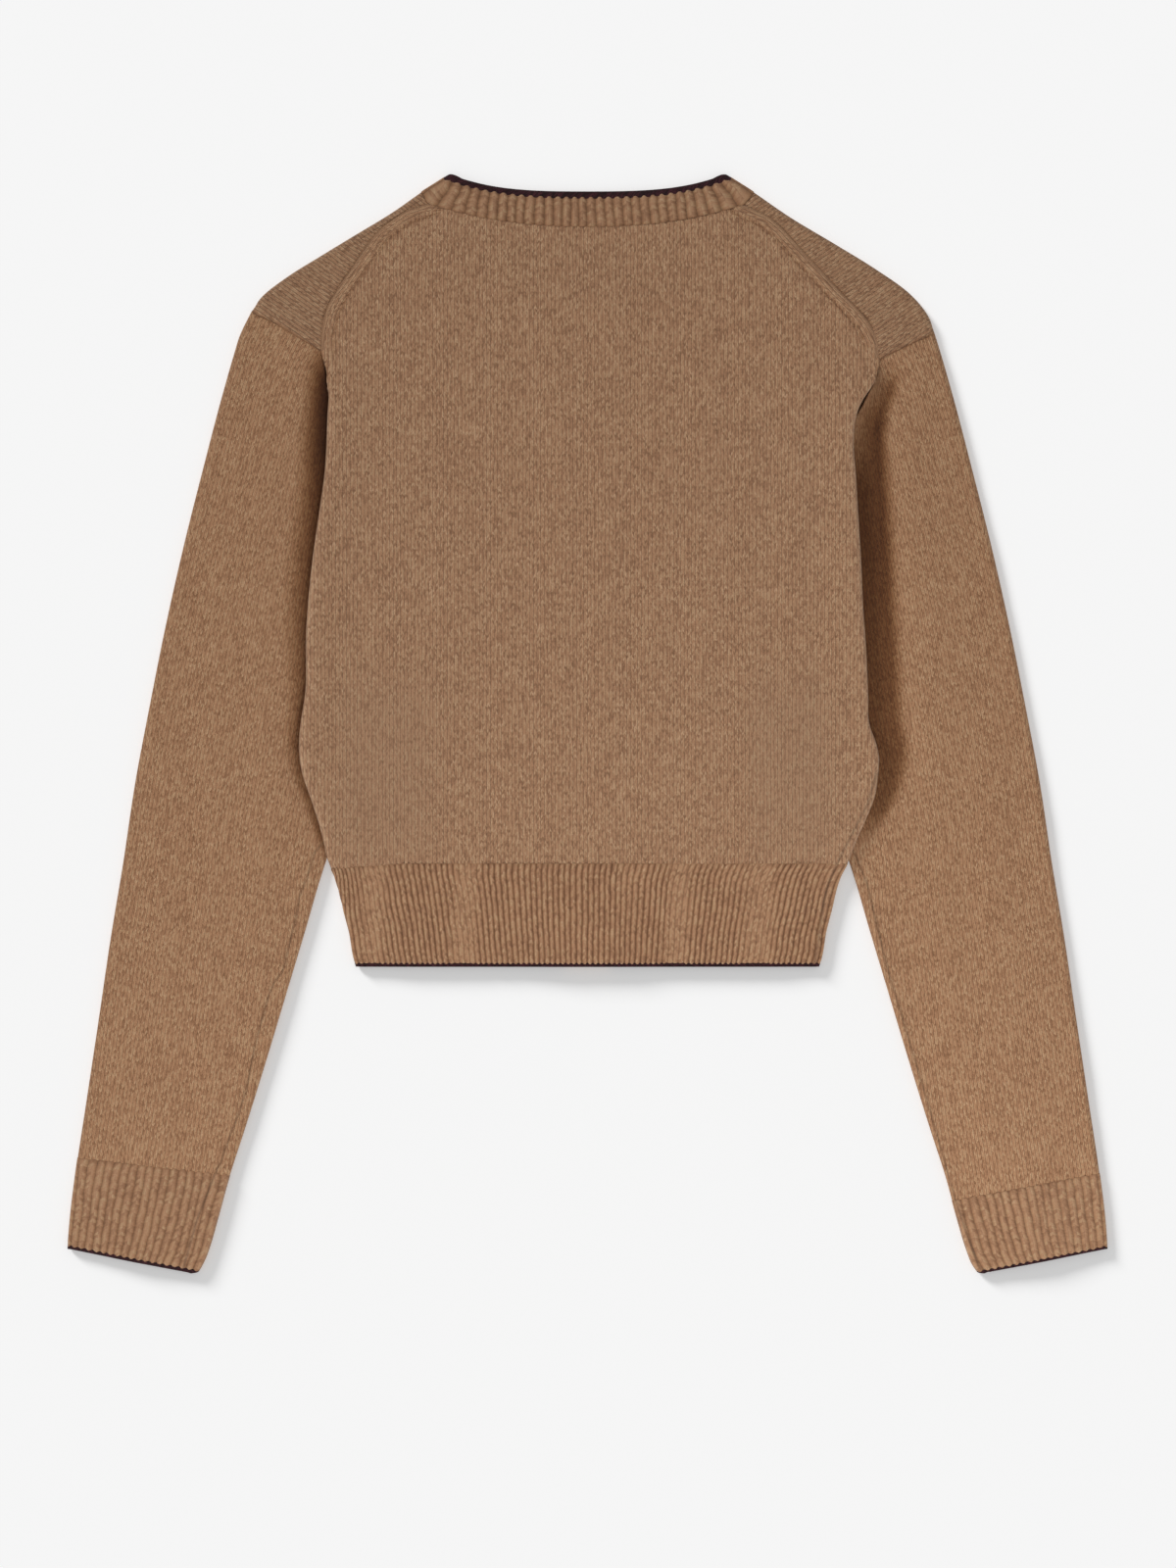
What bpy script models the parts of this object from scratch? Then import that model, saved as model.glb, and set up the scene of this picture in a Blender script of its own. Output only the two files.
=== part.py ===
"""A cropped knitted cardigan, lying flat with its back up and its buttoned front under it.

Tables are in millimetres. X runs to the wearer's right, Y from the hem to the neck and Z up from the
surface that the garment lies on. "Outward" is the distance from the middle, on either side. The two
fronts lie on the surface, the sleeves lie beside and partly under the body, and the back lies on top,
its sides turned under over the sleeves.
"""

import math

import bmesh
import bpy
import numpy as np

MM = 0.001

# Cloth
CLOTH = 1.4  # thickness of the knit
SEAM = 0.3  # gap between two pieces at a seam
EDGE_LOFT = 4.6  # thickness of the flattened tubes at their outer folds
FULL_LOFT = 6.75  # and away from the folds
LOFT_REACH = 45.0
PRESSED = 3.2  # a sleeve under the body: two layers, pressed flat
OVER_SLEEVE = PRESSED + SEAM

# Main levels (Y)
MIDDLE_Y = 0.4  # half way between the cuffs' ends and the neck's points
NECK_SEAM_Y = 304.0
NECK_EDGE_Y = 326.1
NECK_OPEN_Y = 252.0  # above this no front lies under the back of the neck
UNDERARM_Y = 108.0
UNDERARM_X = 105.0
SIDE_SEAM_SHOWS_Y = -20.0
RIB_TOP_Y = -84.8
HEM_Y = -148.0
SLEEVE_LEAVES_BODY_Y = -82.0

# Neck
NECK_EDGE_HALF = 84.9
NECK_SEAM_HALF = 97.5
NECK_SEAM_DIP = 15.5
NECK_PEAK = (84.9, 337.8)
NECK_FOLD_SEAM_END = (101.5, 327.2)
FRONT_NECK_SEAM = [(101.5, 327.2), (100.0, 300.0), (88.0, 268.0), (62.0, 240.0), (35.0, 230.0), (14.3, 228.0)]
FRONT_NECK_EDGE = [(84.9, 337.8), (79.0, 302.0), (70.0, 280.0), (50.0, 259.0), (30.0, 251.5), (14.3, 250.0)]

# Bands, ribs and tipping
BAND_HALF = 14.0
BUTTON_THICK = 2.0
BUTTON_RADIUS = 5.75
BUTTON_COUNT = 7
BUTTON_FIRST_Y = -136.0
BUTTON_LAST_Y = 238.0
BUTTONHOLE_BAND_LOW = BUTTON_THICK + SEAM
BUTTON_BAND_LOW = BUTTONHOLE_BAND_LOW + CLOTH + SEAM
BAND_BUMP = BUTTON_BAND_LOW + CLOTH + SEAM + CLOTH + 0.2
RIB_HEIGHT = 0.6
HEM_RIBS = 86
NECK_RIBS = 36
CUFF_RIBS = 18
HEM_TIP = 2.2
NECK_TIP = 0.12  # as a share of the neckband's height
NECK_GAP = 0.021  # the same, of the gap at its seam
CUFF_TIP = 0.035  # as a share of the cuff's length
TIP_PROUD = 0.3

# Outline of shoulder and sleeve, alike on both sides, from the cuff up to the neck: y, outward x
OUTLINE = [
    (-340.0, 319.6), (-320.0, 318.7), (-300.0, 317.1), (-276.0, 314.1), (-228.0, 306.9), (-180.0, 299.7),
    (-131.0, 292.5), (-84.0, 284.7), (-36.0, 277.5), (12.0, 268.5), (60.0, 258.9), (108.0, 248.1),
    (156.0, 236.1), (204.0, 223.5), (233.0, 215.1), (242.4, 212.1), (252.0, 207.9), (254.4, 205.5),
    (261.6, 200.7), (271.2, 189.3), (290.4, 159.3), (319.2, 112.5), (327.2, 101.5), (337.8, 84.9),
]
# Inner fold of the sleeve, from the cuff up to the underarm: y, outward x
INNER_FOLD = [
    (-350.0, 244.0), (-337.0, 238.4), (-324.0, 233.1), (-300.0, 225.9), (-276.0, 219.3), (-252.0, 211.5), (-204.0, 196.5),
    (-156.0, 182.1), (-124.0, 172.5), (-95.0, 164.1), (SLEEVE_LEAVES_BODY_Y, 159.9), (UNDERARM_Y, UNDERARM_X),
]
# Side edge of the hem, the body and the back's shoulder seam as they show from above: y, outward x
BODY_EDGE = {
    "left": [
        (-148.2, 141.9), (-141.6, 143.7), (-127.2, 146.1), (-112.8, 149.7), (-98.4, 153.3), (-91.2, 155.7),
        (-84.0, 158.9), (-74.0, 161.0), (-61.2, 164.3), (-45.0, 169.5), (-30.0, 174.6), (-10.2, 176.7),
        (-2.4, 176.1), (21.0, 172.8), (55.8, 172.4), (80.4, 170.7), (107.4, 167.7), (132.0, 164.1),
        (153.6, 161.1), (190.8, 159.2), (211.2, 158.2), (222.0, 160.6), (229.5, 162.8),
    ],
    "right": [
        (-148.2, 141.9), (-141.6, 143.7), (-127.2, 146.1), (-112.8, 149.7), (-98.4, 153.3), (-91.2, 155.9),
        (-84.0, 159.6), (-76.0, 162.6), (-67.2, 166.2), (-55.8, 171.3), (-43.2, 176.1), (-30.0, 177.9),
        (-18.6, 178.5), (-9.0, 176.1), (-0.6, 173.0), (19.8, 171.9), (46.2, 170.7), (72.0, 168.9),
        (99.0, 167.7), (129.0, 165.9), (153.6, 164.4), (178.0, 163.2), (191.0, 165.0), (205.0, 171.5),
        (214.0, 176.2), (224.6, 178.4),
    ],
}
# Seam between the sleeve and the body, from the shoulder's tip over the joint to the underarm: outward x, y
JOINT_STATION = 3
ARMHOLE = {
    "left": [
        (205.5, 253.9), (192.0, 246.5), (178.0, 238.0), (163.4, 229.2), (160.9, 219.0), (158.9, 209.5),
        (154.0, 197.0), (145.0, 180.0), (133.0, 158.0), (119.0, 133.0), (UNDERARM_X, UNDERARM_Y),
    ],
    "right": [
        (213.2, 240.0), (202.0, 235.3), (190.5, 229.8), (179.0, 224.3), (177.4, 215.0), (174.6, 207.0),
        (168.0, 195.0), (156.0, 177.0), (140.0, 155.0), (122.0, 131.0), (UNDERARM_X, UNDERARM_Y),
    ],
}
# Diagonal seam between the back and the front's shoulder, from the joint up to the neckband: outward x, y
SHOULDER_SEAM = {
    "left": [
        (162.8, 229.5), (162.9, 240.6), (159.9, 254.4), (153.9, 265.8), (146.1, 277.2), (128.1, 302.4),
        (111.9, 314.6), (97.5, 319.5),
    ],
    "right": [
        (178.4, 224.6), (177.9, 234.6), (173.1, 245.4), (165.3, 255.0), (153.9, 266.4), (143.1, 278.4),
        (128.1, 294.6), (118.5, 305.4), (110.0, 312.4), (95.6, 318.8),
    ],
}
# Rows of the sleeve below the armhole: outer y, inner y, how much of the armhole's bend is left
SLEEVE_ROWS = [
    (238.0, 103.0, 0.80), (219.0, 96.0, 0.60), (196.0, 86.0, 0.42), (170.0, 73.0, 0.26), (142.0, 57.0, 0.12),
    (112.0, 38.0, 0.04), (78.0, 14.0, 0.0), (40.0, -16.0, 0.0), (0.0, -50.0, 0.0), (-44.0, -90.0, 0.0),
    (-92.0, -126.0, 0.0), (-148.0, -170.0, 0.0), (-206.0, -220.0, 0.0),
]
# Top of the cuff's rib: outer y, inner y
CUFF_TOP = {"left": (-265.2, -276.0), "right": (-274.8, -291.6)}
CUFF_BOTTOM = (-321.0, -337.0)

# Heights of the turned-under side of the body
FOLD_RISE = 1.7  # how far the back rises to its folded edge
FOLD_RISE_REACH = 35.0
LAP = 3.0  # least width that the back turns under
FOLD_ENDS_Y = (196.0, 216.0)  # the turned edge flattens out to the armhole seam
PRESS_ENDS_Y = (204.0, 232.0)  # and lets the sleeve rise again
NECK_SAG = 3.2  # the back of the neck sinks where no front lies under it

# Soft creases in the back: start x, start y, end x, end y, depth (negative for a ridge), half width
BACK_CREASES = [
    (-60.0, 60.0, -57.0, -84.0, 0.5, 15.0),
    (-30.0, 160.0, -30.0, -20.0, 0.4, 14.0),
    (-102.0, 120.0, -104.0, 40.0, -0.4, 18.0),
    (150.0, 40.0, 128.0, -70.0, 0.4, 13.0),
    (-148.0, 30.0, -128.0, -70.0, 0.4, 13.0),
]
# and in the sleeves: outward
SLEEVE_CREASES = [
    (246.0, 40.0, 228.0, -180.0, 0.5, 12.0),
    (222.0, 150.0, 205.0, -20.0, -0.3, 14.0),
]


# ---------------------------------------------------------------- curves and heights


def rise(t):
    """A soft step from 0 to 1."""
    t = min(max(t, 0.0), 1.0)
    return t * t * (3.0 - 2.0 * t)


def read(table, at):
    """A smooth curve through rows of (position, value), read at one position."""
    places, values = np.array(table, float).T
    slopes = np.gradient(values, places)
    at = min(max(at, places[0]), places[-1])
    i = min(max(int(np.searchsorted(places, at)) - 1, 0), len(places) - 2)
    step = places[i + 1] - places[i]
    f = (at - places[i]) / step
    start = values[i] * (1.0 + 2.0 * f) * (1.0 - f) ** 2 + slopes[i] * step * f * (1.0 - f) ** 2
    end = values[i + 1] * f * f * (3.0 - 2.0 * f) + slopes[i + 1] * step * f * f * (f - 1.0)
    return start + end


def trace(points, share):
    """The point at a share of the length of a smooth curve through plan points."""
    points = np.array(points, float)
    lengths = np.concatenate([[0.0], np.cumsum(np.linalg.norm(np.diff(points, axis=0), axis=1))])
    at = share * lengths[-1]
    return np.array([read(list(zip(lengths, points[:, axis])), at) for axis in (0, 1)])


def polyline(points, share):
    """The point at a share of the length of straight runs between plan points."""
    points = np.array(points, float)
    lengths = np.concatenate([[0.0], np.cumsum(np.linalg.norm(np.diff(points, axis=0), axis=1))])
    return np.array([np.interp(share * lengths[-1], lengths, points[:, axis]) for axis in (0, 1)])


def sign_of(side):
    return -1.0 if side == "left" else 1.0


def side_of(x):
    return "left" if x < 0.0 else "right"


def outline(y):
    return read(OUTLINE, y)


def inner_fold(y):
    return read(INNER_FOLD, y)


def outline_normal(y):
    """The direction out of the shoulder and sleeve outline, as (outward x, y)."""
    slope = (outline(y + 1.0) - outline(y - 1.0)) / 2.0
    normal = np.array([1.0, -slope])
    return normal / np.linalg.norm(normal)


def inner_normal(y):
    """The direction out of the sleeve at its inner fold, as (outward x, y)."""
    slope = (inner_fold(y + 1.0) - inner_fold(y - 1.0)) / 2.0
    normal = np.array([-1.0, slope])
    return normal / np.linalg.norm(normal)


def crease(x, y, creases):
    """How deep the creases are at a point."""
    depth = 0.0
    for start_x, start_y, end_x, end_y, deep, half_width in creases:
        along = (y - start_y) / (end_y - start_y)
        if 0.0 < along < 1.0:
            off = (x - start_x - along * (end_x - start_x)) / half_width
            depth += deep * math.exp(-off * off) * math.sin(math.pi * along) ** 0.7
    return depth


def tube_loft(outward, y):
    """Height of the top of a flattened sleeve or shoulder, rounding down to its outer fold."""
    off = (outline(y) - outward) * outline_normal(y)[0]
    return EDGE_LOFT + (FULL_LOFT - EDGE_LOFT) * rise(off / LOFT_REACH)


def sleeve_top(side, outward, y):
    """Height of the sleeve: pressed flat under the body's edge, rising again beyond it."""
    top = tube_loft(outward, y)
    if y < UNDERARM_Y:
        off = (outward - inner_fold(y)) * 0.96
        top = min(top, EDGE_LOFT + (FULL_LOFT - EDGE_LOFT) * rise(off / LOFT_REACH))
    low, high = PRESS_ENDS_Y
    pressing = (1.0 - rise((y - low) / (high - low))) * rise((y + 128.0) / 42.0)
    body = read(BODY_EDGE[side], y)
    freed = rise((outward - body - 4.5) / 27.0)
    top = PRESSED + (top - PRESSED) * (1.0 - pressing * (1.0 - freed))
    return top - crease(outward, y, SLEEVE_CREASES) * freed


def body_floor(x, y):
    """Height of the underside of the body: on the surface, over the sleeves and over the buttons."""
    outward = abs(x)
    if y < UNDERARM_Y:
        off = (inner_fold(y) - outward) * 0.96
    else:
        off = math.hypot(max(UNDERARM_X - outward, 0.0), y - UNDERARM_Y)
    over_sleeve = OVER_SLEEVE * (1.0 - rise((off - 1.8) / 12.0))
    band = BUTTON_BAND_LOW if x < 0.0 else BUTTONHOLE_BAND_LOW
    over_buttons = band * (1.0 - rise((outward - BAND_HALF - 0.6) / 20.0))
    return max(over_sleeve, over_buttons)


def body_top(x, y):
    """Height of the back as it lies over the fronts, the sleeves and the buttons."""
    outward = abs(x)
    side = side_of(x)
    edge = read(BODY_EDGE[side], y)
    low, high = PRESS_ENDS_Y
    top = tube_loft(outward, y)
    folded = (1.0 - rise((y - low - 2.0) / (high - low))) * rise((y + 98.0) / 40.0)
    top += FOLD_RISE * folded * (1.0 - rise((edge - outward) / FOLD_RISE_REACH))
    top -= 1.0 * rise((-50.0 - y) / 80.0)
    at_hem = rise((-78.0 - y) / 34.0)
    hem_edge = EDGE_LOFT + (top - EDGE_LOFT) * rise((edge - outward) / FOLD_RISE_REACH)
    top += (hem_edge - top) * at_hem
    bands = (1.0 - rise((outward - BAND_HALF - 1.0) / 34.0)) * (1.0 - rise((y - NECK_OPEN_Y) / 30.0))
    top += (BAND_BUMP - top) * bands
    if y < 215.0:
        top -= crease(x, y, BACK_CREASES)
    sag = rise((y - NECK_OPEN_Y - 2.0) / 48.0) * max(1.0 - (outward / 86.0) ** 2, 0.0)
    return top - NECK_SAG * sag


# ---------------------------------------------------------------- walls


def skin(x, y, low, high, angle, outward=(1.0, 0.0), raised=0.0):
    """Outer and inner point of the cloth round a flattened tube that spans low to high at a place.

    The angle is 90 degrees on the top sheet, -90 on the under sheet and between them round a fold whose
    axis passes through (x, y) and which faces outward.
    """
    middle = (low + high) / 2.0
    radius = (high - low) / 2.0
    across = math.cos(math.radians(angle))
    up = math.sin(math.radians(angle))
    points = []
    for reach, extra in ((radius, raised), (radius - CLOTH, 0.0)):
        level = middle + reach * up + extra
        points.append((x + reach * across * outward[0], y + reach * across * outward[1], level))
    return points


def split(row):
    """Outer and inner points of a row of skin pairs."""
    return [pair[0] for pair in row], [pair[1] for pair in row]


def zip_rims(mesh, first, second, closed):
    """Faces between two runs of points that need not have as many points each: the shorter side leads."""
    if closed:
        first = first + first[:1]
        second = second + second[:1]
    i = 0
    j = 0
    while i < len(first) - 1 or j < len(second) - 1:
        if j == len(second) - 1:
            lead = True
        elif i == len(first) - 1:
            lead = False
        else:
            lead = (first[i + 1].co - second[j].co).length <= (first[i].co - second[j + 1].co).length
        if lead:
            mesh.faces.new((first[i], first[i + 1], second[j]))
            i += 1
        else:
            mesh.faces.new((first[i], second[j + 1], second[j]))
            j += 1


def sheet_faces(mesh, rows, closed):
    """Quads over a grid of points; a closed grid's rows are rings."""
    grid = [[mesh.verts.new([value * MM for value in point]) for point in row] for row in rows]
    for above, below in zip(grid, grid[1:]):
        for k in range(len(above) if closed else len(above) - 1):
            after = (k + 1) % len(above)
            mesh.faces.new((above[k], above[after], below[after], below[k]))
    return grid


def wall(name, outer, inner, material, closed=False):
    """A closed solid between an outer and an inner grid of points."""
    mesh = bmesh.new()
    outside = sheet_faces(mesh, outer, closed)
    inside = sheet_faces(mesh, inner, closed)
    zip_rims(mesh, outside[0], inside[0], closed)
    zip_rims(mesh, outside[-1], inside[-1], closed)
    if not closed:
        for end in (0, -1):
            zip_rims(mesh, [row[end] for row in outside], [row[end] for row in inside], False)
    return finish(mesh, name, material)


def finish(mesh, name, material):
    """The mesh as a named object, moved so that the garment's plan is centred on the origin."""
    bmesh.ops.recalc_face_normals(mesh, faces=mesh.faces)
    bmesh.ops.translate(mesh, verts=mesh.verts, vec=(0.0, -MIDDLE_Y * MM, 0.0))
    data = bpy.data.meshes.new(name)
    mesh.to_mesh(data)
    mesh.free()
    data.shade_smooth()
    data.set_sharp_from_angle(angle=math.radians(50.0))
    data.materials.append(material)
    made = bpy.data.objects.new(name, data)
    bpy.context.scene.collection.objects.link(made)
    return made


def fabric(name, color, roughness):
    material = bpy.data.materials.new(name)
    material.use_nodes = True
    shader = material.node_tree.nodes["Principled BSDF"]
    shader.inputs["Base Color"].default_value = (*color, 1.0)
    shader.inputs["Roughness"].default_value = roughness
    shader.inputs["Metallic"].default_value = 0.0
    return material


# ---------------------------------------------------------------- sides of the body


def turned_seam(side, y):
    """Outward place, on the under side, of the seam where the back's turned-under side ends."""
    fold = read(BODY_EDGE[side], y)
    nearest = fold - 2.4 - LAP
    if y >= UNDERARM_Y:
        places = sorted((row[1], row[0]) for row in ARMHOLE[side][JOINT_STATION + 1 :])
        return min(read(places, y) + 1.0, nearest)
    share = (UNDERARM_Y - y) / (UNDERARM_Y - SIDE_SEAM_SHOWS_Y)
    reached = read(BODY_EDGE[side], SIDE_SEAM_SHOWS_Y) - 2.4 - LAP
    start = UNDERARM_X + 1.0
    return min(start + (reached - start) * share, nearest)


def turned_edge(side, y):
    """Stations round the folded side of the body, from the top sheet to the seam under it.

    Each is (outward x, low, high, angle). Where the fold flattens out, they draw back onto the top.
    """
    fold = read(BODY_EDGE[side], y)
    sign = sign_of(side)
    curl = 1.0 - rise((y - FOLD_ENDS_Y[0]) / (FOLD_ENDS_Y[1] - FOLD_ENDS_Y[0]))
    high = body_top(sign * (fold - 2.2), y)
    low = OVER_SLEEVE + 0.45 * rise((y - 196.0) / 14.0)
    if y < UNDERARM_Y:
        low = body_floor(sign * (fold - 2.6), y)
    radius = (high - low) / 2.0
    half_turn = math.pi * radius
    axis = fold - radius * curl
    lap = max(axis - turned_seam(side, y), LAP)
    full = [-12.0, 0.0, half_turn / 4, half_turn / 2, half_turn * 3 / 4, half_turn]
    full += [half_turn + lap / 2, half_turn + lap]
    last = curl * (half_turn + lap)
    squeeze = (last + 12.0) / (full[-1] + 12.0)
    stations = []
    for place in full:
        at = -12.0 + (place + 12.0) * squeeze
        if at <= 0.0:
            stations.append((axis + at, low, body_top(sign * (axis + at), y), 90.0))
        elif at < half_turn:
            stations.append((axis, low, high, 90.0 - 180.0 * at / half_turn))
        else:
            stations.append((axis - (at - half_turn), low, high, -90.0))
    return stations


def edge_skins(side, y, height_at=None):
    """The stations of turned_edge as outer and inner points, from the seam under the fold to the top."""
    sign = sign_of(side)
    row = []
    for outward, low, high, angle in reversed(turned_edge(side, y)):
        place_y = y if height_at is None else height_at(sign * outward)
        if angle == 90.0:
            high = body_top(sign * outward, place_y)
        row.append(skin(sign * outward, place_y, low, high, angle, (sign, 0.0)))
    return row


# ---------------------------------------------------------------- back

BACK_STATIONS = 13
EDGE_STATIONS = 8
BACK_ROWS_Y = [-72, -58, -44, -30, -16, 2, 22, 44, 66, 87, 108, 130, 152, 174, 192, 199, 204, 208, 212, 216]
SHOULDER_ROWS = 6


def rib_top(x):
    """Where the hem's rib meets the back: it dips towards the left side."""
    return RIB_TOP_Y - 3.2 * max((-x - 112.0) / 46.0, 0.0)


def neck_seam(x):
    return NECK_SEAM_Y + NECK_SEAM_DIP * abs(x / NECK_SEAM_HALF) ** 2.3


def neck_edge(x):
    return NECK_EDGE_Y + (NECK_PEAK[1] - NECK_EDGE_Y) * abs(x / NECK_EDGE_HALF) ** 2.8


def top_skin(x, y):
    return skin(x, y, 0.0, body_top(x, y), 90.0)


def back_row(left_y, right_y, y_at):
    """One row across the back along y_at(x), with its sides turned under."""
    left = edge_skins("left", left_y, y_at)
    right = edge_skins("right", right_y, y_at)
    left_x = left[-1][0][0]
    right_x = right[-1][0][0]
    row = left
    for k in range(1, BACK_STATIONS):
        x = left_x + (right_x - left_x) * k / BACK_STATIONS
        row.append(top_skin(x, y_at(x)))
    return row + right[::-1]


def seam_station(side, share):
    """The shoulder seam at a share of its length from the joint, on straight runs between the back's rows."""
    place = share * SHOULDER_ROWS
    first = min(int(place), SHOULDER_ROWS - 1)
    ends = [trace(SHOULDER_SEAM[side], (first + k) / SHOULDER_ROWS) for k in (0, 1)]
    return ends[0] + (ends[1] - ends[0]) * (place - first)


def shoulder_row(share):
    """One row of the back between the two shoulder seams, sagging towards the neck seam."""
    left = trace(SHOULDER_SEAM["left"], share) * (-1.0, 1.0)
    right = trace(SHOULDER_SEAM["right"], share)
    neck_left = -SHOULDER_SEAM["left"][-1][0]
    neck_right = SHOULDER_SEAM["right"][-1][0]
    width = right[0] - left[0]
    close = [12.0 * k / (EDGE_STATIONS - 1) for k in range(EDGE_STATIONS)]
    wide = [12.0 + (width - 24.0) * k / BACK_STATIONS for k in range(1, BACK_STATIONS)]
    row = []
    for place in close + wide + [width - at for at in reversed(close)]:
        f = place / width
        neck_x = neck_left + (neck_right - neck_left) * f
        neck_line = neck_seam(neck_left) + (neck_seam(neck_right) - neck_seam(neck_left)) * f
        sag = (neck_line - neck_seam(neck_x)) * share * share
        row.append(top_skin(left[0] + place, left[1] + (right[1] - left[1]) * f - sag))
    return row


def make_back(knit):
    rows = [back_row(rib_top(-158.0), rib_top(158.0), rib_top)]
    rows += [back_row(float(y), float(y), lambda x, y=y: float(y)) for y in BACK_ROWS_Y]
    rows += [shoulder_row(step / SHOULDER_ROWS) for step in range(SHOULDER_ROWS + 1)]
    outer, inner = zip(*[split(row) for row in rows])
    wall("back", outer, inner, knit)


# ---------------------------------------------------------------- fronts

FRONT_FLAT_STATIONS = 5
SLEEVE_CLEARANCES = (14.0, 10.0, 6.0, 1.5)  # stations of the step down beside the sleeve
FOLD_ANGLES = (-45.0, 0.0, 45.0)
NECK_ROWS = 5  # rows that end at the front neckline


def front_distances(width, raised):
    """Distances from a front row's outer end to its stations, the step beside the sleeve among them."""
    step = [raised + clear for clear in SLEEVE_CLEARANCES]
    flat = [width - (width - step[0]) * k / FRONT_FLAT_STATIONS for k in range(FRONT_FLAT_STATIONS)]
    last = step[-1]
    return flat + step + [last * 2 / 3, last / 3, 0.0]


def under_skin(side, point):
    """The under sheet at a plan point given as (outward x, y)."""
    x = sign_of(side) * point[0]
    low = body_floor(x, point[1])
    return skin(x, point[1], low, low + 2 * CLOTH, -90.0)


def front_row(side, start, end, raised):
    start = np.array(start, float)
    end = np.array(end, float)
    width = np.linalg.norm(start - end)
    places = [end + (start - end) * off / width for off in front_distances(width, raised)]
    return [under_skin(side, place) for place in places]


def moved_in(points, m, gap):
    """Point m of a seam, moved by a gap to the body's side of it."""
    before = np.array(points[max(m - 1, 0)], float)
    after = np.array(points[min(m + 1, len(points) - 1)], float)
    tangent = (after - before) / np.linalg.norm(after - before)
    return np.array(points[m], float) + gap * np.array([tangent[1], -tangent[0]])


def fold_axis(place):
    """Axis point and outward direction of the shoulder's fold at a height on the outline."""
    normal = outline_normal(place)
    return np.array([outline(place), place]) - normal * EDGE_LOFT / 2, normal


def cap_seam_end(side):
    return moved_in(ARMHOLE[side], JOINT_STATION, SEAM)


def make_front(side, knit):
    sign = sign_of(side)
    inner_x = BAND_HALF + SEAM
    rows = []
    for y in [rib_top(sign * 158.0)] + [y for y in BACK_ROWS_Y if y < UNDERARM_Y]:
        end = turned_seam(side, y) - SEAM
        raised = max(end - inner_fold(y), 0.0)
        rows.append(front_row(side, (inner_x, max(y, RIB_TOP_Y)), (end, y), raised))
    stations = len(ARMHOLE[side]) - 1
    for m in range(stations, 0, -1):
        if m > NECK_ROWS:
            start = (inner_x, UNDERARM_Y + (stations - m) * 24.0)
        else:
            start = trace(FRONT_NECK_SEAM, m / NECK_ROWS)
        rows.append(front_row(side, start, moved_in(ARMHOLE[side], m, SEAM), 0.0))
    tip_y = ARMHOLE[side][0][1] + SEAM
    neck_y = NECK_FOLD_SEAM_END[1] - 2 * SEAM
    width = math.hypot(outline(tip_y) - outline(neck_y), tip_y - neck_y)
    shares = [1.0 - off / width for off in front_distances(width, 0.0)]
    axes = [fold_axis(neck_y + (tip_y - neck_y) * share) for share in shares]
    for angle in (-90.0, *FOLD_ANGLES, 90.0):
        row = []
        for axis, normal in axes:
            top = body_top(sign * axis[0], axis[1])
            row.append(skin(sign * axis[0], axis[1], 0.0, top, angle, (sign * normal[0], normal[1])))
        rows.append(row)
    last = len(shares) - 1
    for step in range(1, JOINT_STATION + 1):
        row = []
        cap_seam = moved_in(ARMHOLE[side], step, SEAM)
        for k, (axis, _) in enumerate(axes):
            if k <= SHOULDER_ROWS - 1:
                seam_share = 1.0 - k / SHOULDER_ROWS
            else:
                seam_share = (last - k) / (last - SHOULDER_ROWS + 1) / SHOULDER_ROWS
            seam = seam_station(side, seam_share)
            seam = seam + (axis - seam) / np.linalg.norm(axis - seam) * SEAM * 1.4
            if k == last:
                place = cap_seam
            else:
                place = axis + (seam - axis) * step / JOINT_STATION
                bend = cap_seam - axes[-1][0] - (cap_seam_end(side) - axes[-1][0]) * step / JOINT_STATION
                place = place + bend * shares[k] ** 6
            row.append(top_skin(sign * place[0], place[1]))
        rows.append(row)
    outer, inner = zip(*[split(row) for row in rows])
    wall("front_" + side, outer, inner, knit)


# ---------------------------------------------------------------- sleeves and cuffs


def tube_ring(side, places, outer_normal, inner_normal_at, extra=0.0, ribs=False):
    """A ring round a flattened tube, over the top from its outer fold to its inner one and back under."""
    sign = sign_of(side)

    def at(place, angle, normal, raised=0.0):
        top = sleeve_top(side, place[0], place[1]) + extra
        return skin(sign * place[0], place[1], 0.0, top, angle, (sign * normal[0], normal[1]), raised)

    ring = [at(p, 90.0, outer_normal, RIB_HEIGHT if ribs and k % 2 else 0.0) for k, p in enumerate(places)]
    ring += [at(places[-1], -angle, inner_normal_at) for angle in FOLD_ANGLES]
    under = places[::4] if ribs else places
    ring += [at(p, -90.0, outer_normal) for p in reversed(under)]
    ring += [at(places[0], angle, outer_normal) for angle in FOLD_ANGLES]
    return ring


def tube_row(side, outer_y, inner_y, stations):
    """Plan points across a sleeve between the axes of its two folds."""
    start, outer_normal = fold_axis(outer_y)
    normal = inner_normal(inner_y)
    half = sleeve_top(side, inner_fold(inner_y) + 2.0, inner_y) / 2
    end = np.array([inner_fold(inner_y), inner_y]) - normal * half
    places = [start + (end - start) * k / stations for k in range(stations + 1)]
    return places, outer_normal, normal


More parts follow.
